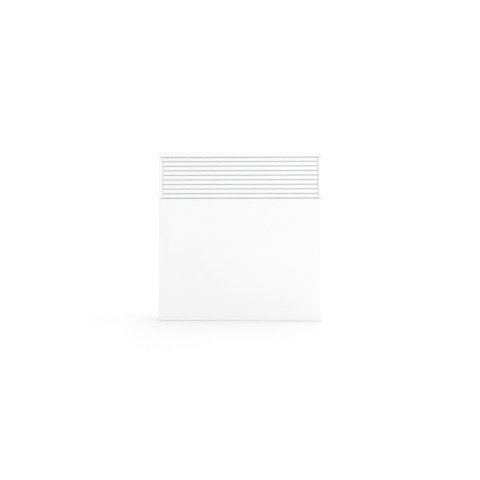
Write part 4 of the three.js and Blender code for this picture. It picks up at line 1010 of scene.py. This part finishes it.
def build_thermostat_knob(controls):
    """The fluted knob, turned from its outline, with a raised pointer and a dark line on it."""
    low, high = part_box("thermostat_knob")
    centre = (low + high) / 2
    radius = half_width("thermostat_knob")
    chamfer = 0.0003
    edge = 0.0004
    skirt = 0.002
    pointer = 0.001
    crown = 0.0014
    bore = 0.0034
    taper = 0.0025
    base = low.z
    ledge = base + skirt
    shoulder = ledge + crown
    top = high.z - pointer
    grip = radius - taper
    profile = (
        (bore, base), (radius - chamfer, base), (radius, base + chamfer), (radius, ledge - edge),
        (radius - edge, ledge), (grip + 3 * edge, ledge + 2 * edge), (grip + 2 * edge, shoulder),
        (grip, top - crown), (grip - 1.25 * edge, top - edge), (grip - crown, top), (grip - 2 * crown, top),
        (grip - 2 * crown - 2 * edge, top - edge), (0.0, top - edge),
    )
    turns = len(FLUTE) * controls.flutes
    bm = turned(profile, turns)
    for vert in bm.verts:
        if shoulder - NEAR < vert.co.z < top - crown + NEAR:
            outward = Vector((vert.co.x, vert.co.y, 0)).normalized()
            step = round(math.atan2(outward.y, outward.x) / (2 * math.pi) * turns) % len(FLUTE)
            vert.co -= outward * controls.flute_depth * FLUTE[step]
    even_normals(bm)
    half_bar = 0.0011
    bar_corner = 0.0008
    half_line = 0.00035
    tip = skirt - grip
    bar = boxed((-half_bar, tip, top - pointer), (half_bar, 0.0, high.z))
    round_folds(bar, AXIS_Z, bar_corner, 5)
    joined_into(bm, bar)
    proud = 0.00004
    line_low = (-half_line, tip + 3 * edge, high.z - edge)
    marks_joined_into(bm, boxed(line_low, (half_line, -pointer, high.z + proud)))
    bmesh.ops.translate(bm, vec=(centre.x, centre.y, 0), verts=bm.verts[:])
    placed(
        "temperature_knob", bm, "knob", "knob_plastic", ["thermostat_knob"],
        sharp=40, looks=["knob_plastic", "dark_print"]
    )


def build_switch_housing(controls):
    """The switch's frame and well, its body below the tray and its two tabs."""
    low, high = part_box("switch_housing")
    rocker_low, rocker_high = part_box("power_rocker")
    centre = (low + high) / 2
    seat = tray_floor(controls) + FIT_GAP
    wall = 0.0016
    well = 0.0102
    step_in = 0.0013
    body = 0.017
    corner = 0.0014
    edge = 0.0006
    bottom = tray_floor(controls) - body
    bm = boxed((low.x, low.y, seat), high)
    round_folds(bm, AXIS_Z, corner, 5)
    brim = list({edge for face in flat_faces(bm, AXIS_Z, high.z) for edge in face.edges})
    rounded(bm, brim, edge, 3)
    well_low = (rocker_low.x - FIT_GAP, low.y + wall)
    well_high = (rocker_high.x + FIT_GAP, high.y - wall)
    mouth = framed_faces(bm, AXIS_Z, high.z, well_low, well_high)
    pushed_faces(bm, mouth, AXIS_Z * -well)
    bmesh.ops.delete(bm, geom=mouth, context="FACES_ONLY")
    bmesh.ops.delete(bm, geom=flat_faces(bm, AXIS_Z, seat), context="FACES_ONLY")
    inset = rim_from(bm, open_edges(bm, AXIS_Z, seat), low, high, -step_in)
    lower = pushed_edges(bm, inset, AXIS_Z * (bottom - seat))
    bmesh.ops.edgeloop_fill(bm, edges=lower)
    even_normals(bm)
    half_tab = Vector((0.00315, 0.0004, 0))
    for side in (-1, 1):
        spot = Vector((centre.x, centre.y + side * (high.y - low.y) / 4, 0))
        joined_into(bm, boxed(spot - half_tab + AXIS_Z * low.z, spot + half_tab + AXIS_Z * bottom))
    placed("switch_frame", bm, "casing", "black_moulding", ["switch_housing"], soft=0.0001, sharp=35)


def build_power_rocker():
    """The rocker at rest, with its rear end down by half its travel, and its two marks."""
    width = 2 * half_width("power_rocker")
    joint = JOINTS["rocker_tilt"]
    travel = math.radians(max(joint["range_deg"]))
    half = 0.0086
    rise = 0.0032
    rim = -0.001
    belly = -0.0042
    steps = 8
    line = [(-half, rim), (-half, rise)]
    for step in range(1, steps):
        share = step / steps * 2 - 1
        line.append((share * half, rise / 2 * (1 + share * share)))
    line += [(half, rise), (half, rim), (half / 2, belly), (-half / 2, belly)]
    bm = bmesh.new()
    side = bm.faces.new([bm.verts.new((-width / 2, y, z)) for y, z in line])
    pushed_faces(bm, [side], AXIS_X * width)
    even_normals(bm)
    stroke = 0.0003
    half_mark = 0.0013
    sunk = 0.0006
    proud = 0.0001
    ring_radii = (0.0014, 0.0009)
    share = 0.55
    place = AXIS_Y * share * half
    level = AXIS_Z * (rise / 2 * (1 + share * share) + proud)
    slope = Matrix.Rotation(-math.atan(rise * share / half), 4, "X")
    marks = boxed((-stroke, -half_mark, -sunk), (stroke, half_mark, proud))
    transformed(marks, Matrix.Translation(level - place) @ slope)
    ring = bmesh.new()
    hoops = [vert for radius in ring_radii for vert in circle(ring, radius, 28)]
    bmesh.ops.bridge_loops(ring, edges=edges_of(hoops))
    thickened(ring, AXIS_Z, sunk)
    transformed(ring, Matrix.Translation(level + place + AXIS_Z * proud) @ slope.inverted())
    joined_into(marks, ring)
    marks_joined_into(bm, marks)
    transformed(bm, Matrix.Translation(joint["pos_m"]) @ Matrix.Rotation(-travel / 2, 4, "X"))
    placed(
        "rocker_cap", bm, "rocker", "black_moulding", ["power_rocker"],
        soft=0.00025, sharp=35, looks=["black_moulding", "pale_print"]
    )


def build_indicator_lens():
    """The red lens with its smooth dome."""
    low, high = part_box("indicator_lens")
    radius = half_width("indicator_lens")
    dome = 0.0012
    rim = high.z - dome
    steps = 7
    profile = [(0.0, low.z), (radius, low.z), (radius, rim)]
    for step in range(1, steps + 1):
        angle = math.pi / 2 * step / steps
        profile.append((radius * math.cos(angle), rim + dome * math.sin(angle)))
    bm = turned(profile)
    centre = (low + high) / 2
    bmesh.ops.translate(bm, vec=(centre.x, centre.y, 0), verts=bm.verts[:])
    placed("pilot_lens", bm, "casing", "lens_plastic", ["indicator_lens"], sharp=50)


# Fasteners and the cable entry

# A pan head's outline from its rim to its top: shares of its radius, and of its height down from the top
PAN_HEAD = ((1.0, 1.0), (1.0, 0.55), (0.93, 0.25), (0.78, 0.06), (0.62, 0.0))


def cross_recess(bm, radius, top, depth):
    """Closes a screw's head with a cross-shaped recess inside its rim, which narrows towards its bottom."""
    arm = radius * 0.52
    half = radius * 0.13
    narrow = 0.55
    quarter = ((half, half), (arm, half), (arm, -half))
    corners = []
    for number in range(4):
        turn = Matrix.Rotation(-math.pi / 2 * number, 4, "Z")
        corners += [turn @ Vector((x, y, top)) for x, y in quarter]
    verts = [bm.verts.new(corner) for corner in corners]
    cross = [bm.edges.new((verts[i - 1], verts[i])) for i in range(len(verts))]
    rim = [edge for edge in bm.edges if len(edge.link_faces) == 1 and edge not in cross]
    bmesh.ops.bridge_loops(bm, edges=rim + cross)
    sunk = pushed_edges(bm, cross, AXIS_Z * -depth)
    bmesh.ops.scale(bm, vec=(narrow, narrow, 1), verts=verts_of(sunk))
    bmesh.ops.edgeloop_fill(bm, edges=sunk)


def cross_screw(node_name, outward, finish):
    """A pan-head screw with a cross recess. `outward` points out of its head."""
    low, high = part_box(node_name)
    half = abs((high - low).dot(outward)) / 2
    across = [axis for axis in (AXIS_X, AXIS_Y, AXIS_Z) if abs(axis.dot(outward)) < 0.5]
    radius = max(abs((high - low).dot(axis)) for axis in across) / 2
    head = 0.002
    point = 0.0012
    shank = radius / 2
    profile = [(0.0, -half), (shank * 0.4, -half), (shank, point - half), (shank, half - head)]
    profile += [(radius * out, half - head * down) for out, down in PAN_HEAD]
    bm = turned(profile, 24)
    cross_recess(bm, radius, half, head * 0.6)
    even_normals(bm)
    facing(bm, outward, (low + high) / 2)
    placed(f"{node_name}_cross", bm, "casing", finish, [node_name], sharp=35)


def build_screws():
    """Every screw whose head shows from outside, and those of the element and the earth."""
    for side in ("left", "right"):
        cross_screw(f"cover_screw_{side}", AXIS_Y, "zinc_screw")
        cross_screw(f"element_screw_{side}", -AXIS_Y, "zinc_screw")
        for row in ("front", "rear"):
            cross_screw(f"inlet_screw_{row}_{side}", -AXIS_Z, "zinc_screw")
    cross_screw("earth_screw", -AXIS_Y, "terminal_brass")


def build_cable_gland():
    """The gland through the rear housing, with its collar and open bore."""
    low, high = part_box("cable_gland")
    collar = half_width("cable_gland")
    stem = collar - GLAND_COLLAR
    bore = 0.0036
    edge = 0.0004
    collar_depth = 0.002
    waist = stem - 0.001
    tail = low.y
    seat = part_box("rear_housing")[1].y + FIT_GAP
    ledge = seat + collar_depth
    shoulder = seat + 0.0055
    nose = high.y
    profile = (
        (bore, tail), (stem - 1.5 * edge, tail), (stem, tail + 1.5 * edge), (stem, seat),
        (collar - edge, seat), (collar, seat + edge), (collar, ledge - edge), (collar - edge, ledge),
        (stem, ledge), (stem, shoulder), (waist, shoulder + FIT_GAP), (waist, nose - 3 * edge),
        (waist - 1.5 * edge, nose - edge), (waist - 4 * edge, nose), (bore + edge, nose),
        (bore, nose - edge), (bore, tail),
    )
    bm = turned(profile, 40)
    middle = (low + high) / 2
    facing(bm, AXIS_Y, (middle.x, 0, middle.z))
    placed("cable_gland_body", bm, "casing", "white_moulding", ["cable_gland"], sharp=35)


def build_gland_nut():
    """The six-sided nut that holds the gland from inside."""
    low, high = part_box("gland_nut")
    radius = half_width("gland_nut")
    depth = high.y - low.y
    nut = bmesh.new()
    bmesh.ops.create_cone(nut, cap_ends=False, segments=6, radius1=radius, radius2=radius, depth=depth)
    hole = half_width("cable_gland") - GLAND_COLLAR + FIT_GAP
    ends = (-depth / 2, depth / 2)
    for level in ends:
        rim = open_edges(nut, AXIS_Z, level)
        ring = circle(nut, hole, 36, Matrix.Translation((0, 0, level)))
        bmesh.ops.bridge_loops(nut, edges=rim + edges_of(ring))
    bmesh.ops.bridge_loops(nut, edges=[edge for level in ends for edge in open_edges(nut, AXIS_Z, level)])
    even_normals(nut)
    facing(nut, AXIS_Y, (low + high) / 2)
    placed("gland_lock_nut", nut, "casing", "white_moulding", ["gland_nut"], soft=0.0004)


# Stage

FLOOR_TONES = ((0.895, 0.895, 0.895, 1.0), (0.885, 0.885, 0.885, 1.0))

# Where each light stands from the heater's middle, and how wide it is
FROM_ABOVE = Vector((0.3, 0.5, 1.6))
ABOVE_ANGLE = math.radians(80)
FROM_BEHIND = Vector((0.07, 1.6, 0.42))
BEHIND_ANGLE = math.radians(14)
FROM_THE_RIGHT = Vector((1.0, -1.8, -0.05))
KEY_SIZE = (1.6, 0.3)


def even_light(settings):
    """A white world that gives more light from the right, and looks plain white behind everything."""
    world = bpy.data.worlds.new("Even light")
    world.use_nodes = True
    tree = world.node_tree
    way = node(tree, "ShaderNodeTexCoord").outputs["Generated"]
    parts = node(tree, "ShaderNodeSeparateXYZ", {"Vector": way})
    brightest = settings.sky + settings.slant
    light = spread(tree, parts.outputs["X"], -1.0, 1.0, settings.sky - settings.slant, brightest)
    sight = node(tree, "ShaderNodeLightPath").outputs["Is Camera Ray"]
    strength = reckoned(tree, "MAXIMUM", light, reckoned(tree, "MULTIPLY", sight, brightest))
    fill(tree, tree.nodes["Background"], {"Color": (1.0, 1.0, 1.0, 1.0), "Strength": strength})
    return world


def aimed(name, data, target, step):
    """A light or a camera that looks at a target from a step away."""
    thing = bpy.data.objects.new(name, data)
    thing.location = target + step
    thing.rotation_mode = "QUATERNION"
    thing.rotation_quaternion = step.to_track_quat("Z", "Y")
    bpy.context.scene.collection.objects.link(thing)
    return thing


def soft_light(name, kind, power, target, step):
    """A lamp that looks at a target from a step away."""
    lamp = bpy.data.lights.new(name, kind)
    lamp.energy = power
    aimed(name, lamp, target, step)
    return lamp


def build_floor(settings):
    """The pale floor, which belongs to the stage."""
    low, high = CAD_BOX
    middle = (low + high) / 2
    bm = bmesh.new()
    bmesh.ops.create_grid(bm, x_segments=8, y_segments=8, size=settings.floor)
    bmesh.ops.translate(bm, vec=(middle.x, middle.y, low.z - settings.floor_gap), verts=bm.verts[:])
    mesh = bpy.data.meshes.new("pale_floor")
    bm.to_mesh(mesh)
    bm.free()
    floor = bpy.data.objects.new("pale_floor", mesh)
    bpy.context.scene.collection.objects.link(floor)
    finish = Finish("pale_floor_paint")
    tone = finish.effect("Moulded grain", {"Grain Scale": 300.0, "Gloss Scale": 2.0})
    finish.colour(tone["Gloss"], *FLOOR_TONES)
    finish.feed("Roughness", 0.9)
    finish.feed("Specular IOR Level", 0.1)
    mesh.materials.append(finish.material)


def build_stage(settings):
    """The floor, the even light, lights from above, from behind and from the right, and the camera."""
    low, high = CAD_BOX
    middle = (low + high) / 2
    scene = bpy.context.scene
    scene.world = even_light(settings)
    scene.view_settings.view_transform = "Standard"
    build_floor(settings)
    overhead = soft_light("Overhead light", "SUN", settings.overhead, middle, FROM_ABOVE)
    overhead.angle = ABOVE_ANGLE
    behind = soft_light("Low light", "SUN", settings.low, middle, FROM_BEHIND)
    behind.angle = BEHIND_ANGLE
    key = soft_light("Key light", "AREA", settings.key, middle, FROM_THE_RIGHT)
    key.shape = "RECTANGLE"
    key.size, key.size_y = KEY_SIZE
    lens = bpy.data.cameras.new("Photo camera")
    lens.lens = lens.sensor_width * settings.distance / settings.width
    target = Vector((middle.x, low.y, middle.z - settings.drop))
    step = Matrix.Rotation(settings.turn, 4, "Z") @ Vector((0, -settings.distance, 0))
    scene.camera = aimed("Photo camera", lens, target, step)


# Operators, one for each piece or group of like pieces

class HEATER_OT_finishes(Operator):
    """Make the materials and give each solid its own"""

    bl_idname = "heater.finishes"
    bl_label = "Finishes"

    def execute(self, context):
        make_finishes(context.scene.heater_colours)
        dress_nodes()
        return {"FINISHED"}


class HEATER_OT_front_panel(Operator):
    """Fold the front panel"""

    bl_idname = "heater.front_panel"
    bl_label = "Front panel"

    def execute(self, context):
        build_front_panel(context.scene.heater_casing)
        return {"FINISHED"}


class HEATER_OT_outlet(Operator):
    """Fold the outlet frame and its louvre blades"""

    bl_idname = "heater.outlet"
    bl_label = "Louvred outlet"

    def execute(self, context):
        sizes = context.scene.heater_casing
        louvres = context.scene.heater_louvres
        build_outlet_frame(sizes, louvres)
        for number in range(1, BLADES + 1):
            build_louvre_blade(number, sizes, louvres)
        return {"FINISHED"}


class HEATER_OT_top_cover(Operator):
    """Press the top cover"""

    bl_idname = "heater.top_cover"
    bl_label = "Top cover"

    def execute(self, context):
        build_top_cover(context.scene.heater_casing, context.scene.heater_controls)
        return {"FINISHED"}


class HEATER_OT_rear_housing(Operator):
    """Fold the rear housing"""

    bl_idname = "heater.rear_housing"
    bl_label = "Rear housing"

    def execute(self, context):
        build_rear_housing(context.scene.heater_casing, context.scene.heater_bracket)
        return {"FINISHED"}


class HEATER_OT_inlet_grille(Operator):
    """Punch the inlet grille"""

    bl_idname = "heater.inlet_grille"
    bl_label = "Inlet grille"

    def execute(self, context):
        build_inlet_grille(context.scene.heater_casing, context.scene.heater_grille)
        return {"FINISHED"}


class HEATER_OT_wall_bracket(Operator):
    """Fold the wall bracket and its hooks"""

    bl_idname = "heater.wall_bracket"
    bl_label = "Wall bracket"

    def execute(self, context):
        build_wall_bracket(context.scene.heater_casing, context.scene.heater_bracket)
        return {"FINISHED"}


class HEATER_OT_control_tray(Operator):
    """Mould the control tray and print its scale"""

    bl_idname = "heater.control_tray"
    bl_label = "Control tray"

    def execute(self, context):
        build_control_tray(context.scene.heater_controls)
        build_scale_marks(context.scene.heater_controls)
        return {"FINISHED"}


class HEATER_OT_thermostat_knob(Operator):
    """Turn the thermostat knob"""

    bl_idname = "heater.thermostat_knob"
    bl_label = "Thermostat knob"

    def execute(self, context):
        build_thermostat_knob(context.scene.heater_controls)
        return {"FINISHED"}


class HEATER_OT_power_switch(Operator):
    """Mould the switch housing and its rocker"""

    bl_idname = "heater.power_switch"
    bl_label = "Power switch"

    def execute(self, context):
        build_switch_housing(context.scene.heater_controls)
        build_power_rocker()
        return {"FINISHED"}


class HEATER_OT_indicator_lens(Operator):
    """Turn the indicator lens"""

    bl_idname = "heater.indicator_lens"
    bl_label = "Indicator lens"

    def execute(self, context):
        build_indicator_lens()
        return {"FINISHED"}


class HEATER_OT_screws(Operator):
    """Turn the screws and their cross recesses"""

    bl_idname = "heater.screws"
    bl_label = "Screws"

    def execute(self, context):
        build_screws()
        return {"FINISHED"}


class HEATER_OT_cable_gland(Operator):
    """Turn the cable gland and its nut"""

    bl_idname = "heater.cable_gland"
    bl_label = "Cable gland"

    def execute(self, context):
        build_cable_gland()
        build_gland_nut()
        return {"FINISHED"}


class HEATER_OT_stage(Operator):
    """Set up the floor, the light and the camera"""

    bl_idname = "heater.stage"
    bl_label = "Stage"

    def execute(self, context):
        build_stage(context.scene.heater_stage)
        return {"FINISHED"}


PIECE_OPERATORS = (
    HEATER_OT_finishes,
    HEATER_OT_front_panel,
    HEATER_OT_outlet,
    HEATER_OT_top_cover,
    HEATER_OT_rear_housing,
    HEATER_OT_inlet_grille,
    HEATER_OT_wall_bracket,
    HEATER_OT_control_tray,
    HEATER_OT_thermostat_knob,
    HEATER_OT_power_switch,
    HEATER_OT_indicator_lens,
    HEATER_OT_screws,
    HEATER_OT_cable_gland,
    HEATER_OT_stage,
)


class HEATER_PT_sidebar(Panel):
    """The heater's pieces in the sidebar of the 3D view"""

    bl_idname = "HEATER_PT_sidebar"
    bl_label = "Panel Convector Heater"
    bl_space_type = "VIEW_3D"
    bl_region_type = "UI"
    bl_category = "Heater"

    def draw(self, context):
        column = self.layout.column()
        for operator in PIECE_OPERATORS:
            column.operator(operator.bl_idname)


SETTINGS = (
    ("heater_casing", CasingSizes),
    ("heater_louvres", LouvreSizes),
    ("heater_grille", GrilleSizes),
    ("heater_bracket", BracketSizes),
    ("heater_controls", ControlSizes),
    ("heater_colours", FinishColours),
    ("heater_stage", StageSettings),
)


def register():
    """Registers the settings, the operators and the panel."""
    for name, group in SETTINGS:
        bpy.utils.register_class(group)
        setattr(bpy.types.Scene, name, PointerProperty(type=group))
    for item in (*PIECE_OPERATORS, HEATER_PT_sidebar):
        bpy.utils.register_class(item)


def unregister():
    """Takes the panel, the operators and the settings out again."""
    for item in reversed((*PIECE_OPERATORS, HEATER_PT_sidebar)):
        bpy.utils.unregister_class(item)
    for name, group in reversed(SETTINGS):
        delattr(bpy.types.Scene, name)
        bpy.utils.unregister_class(group)


def main():
    """Makes every piece and the stage."""
    register()
    for operator in PIECE_OPERATORS:
        category, name = operator.bl_idname.split(".")
        getattr(getattr(bpy.ops, category), name)()


if __name__ == "__main__":
    main()
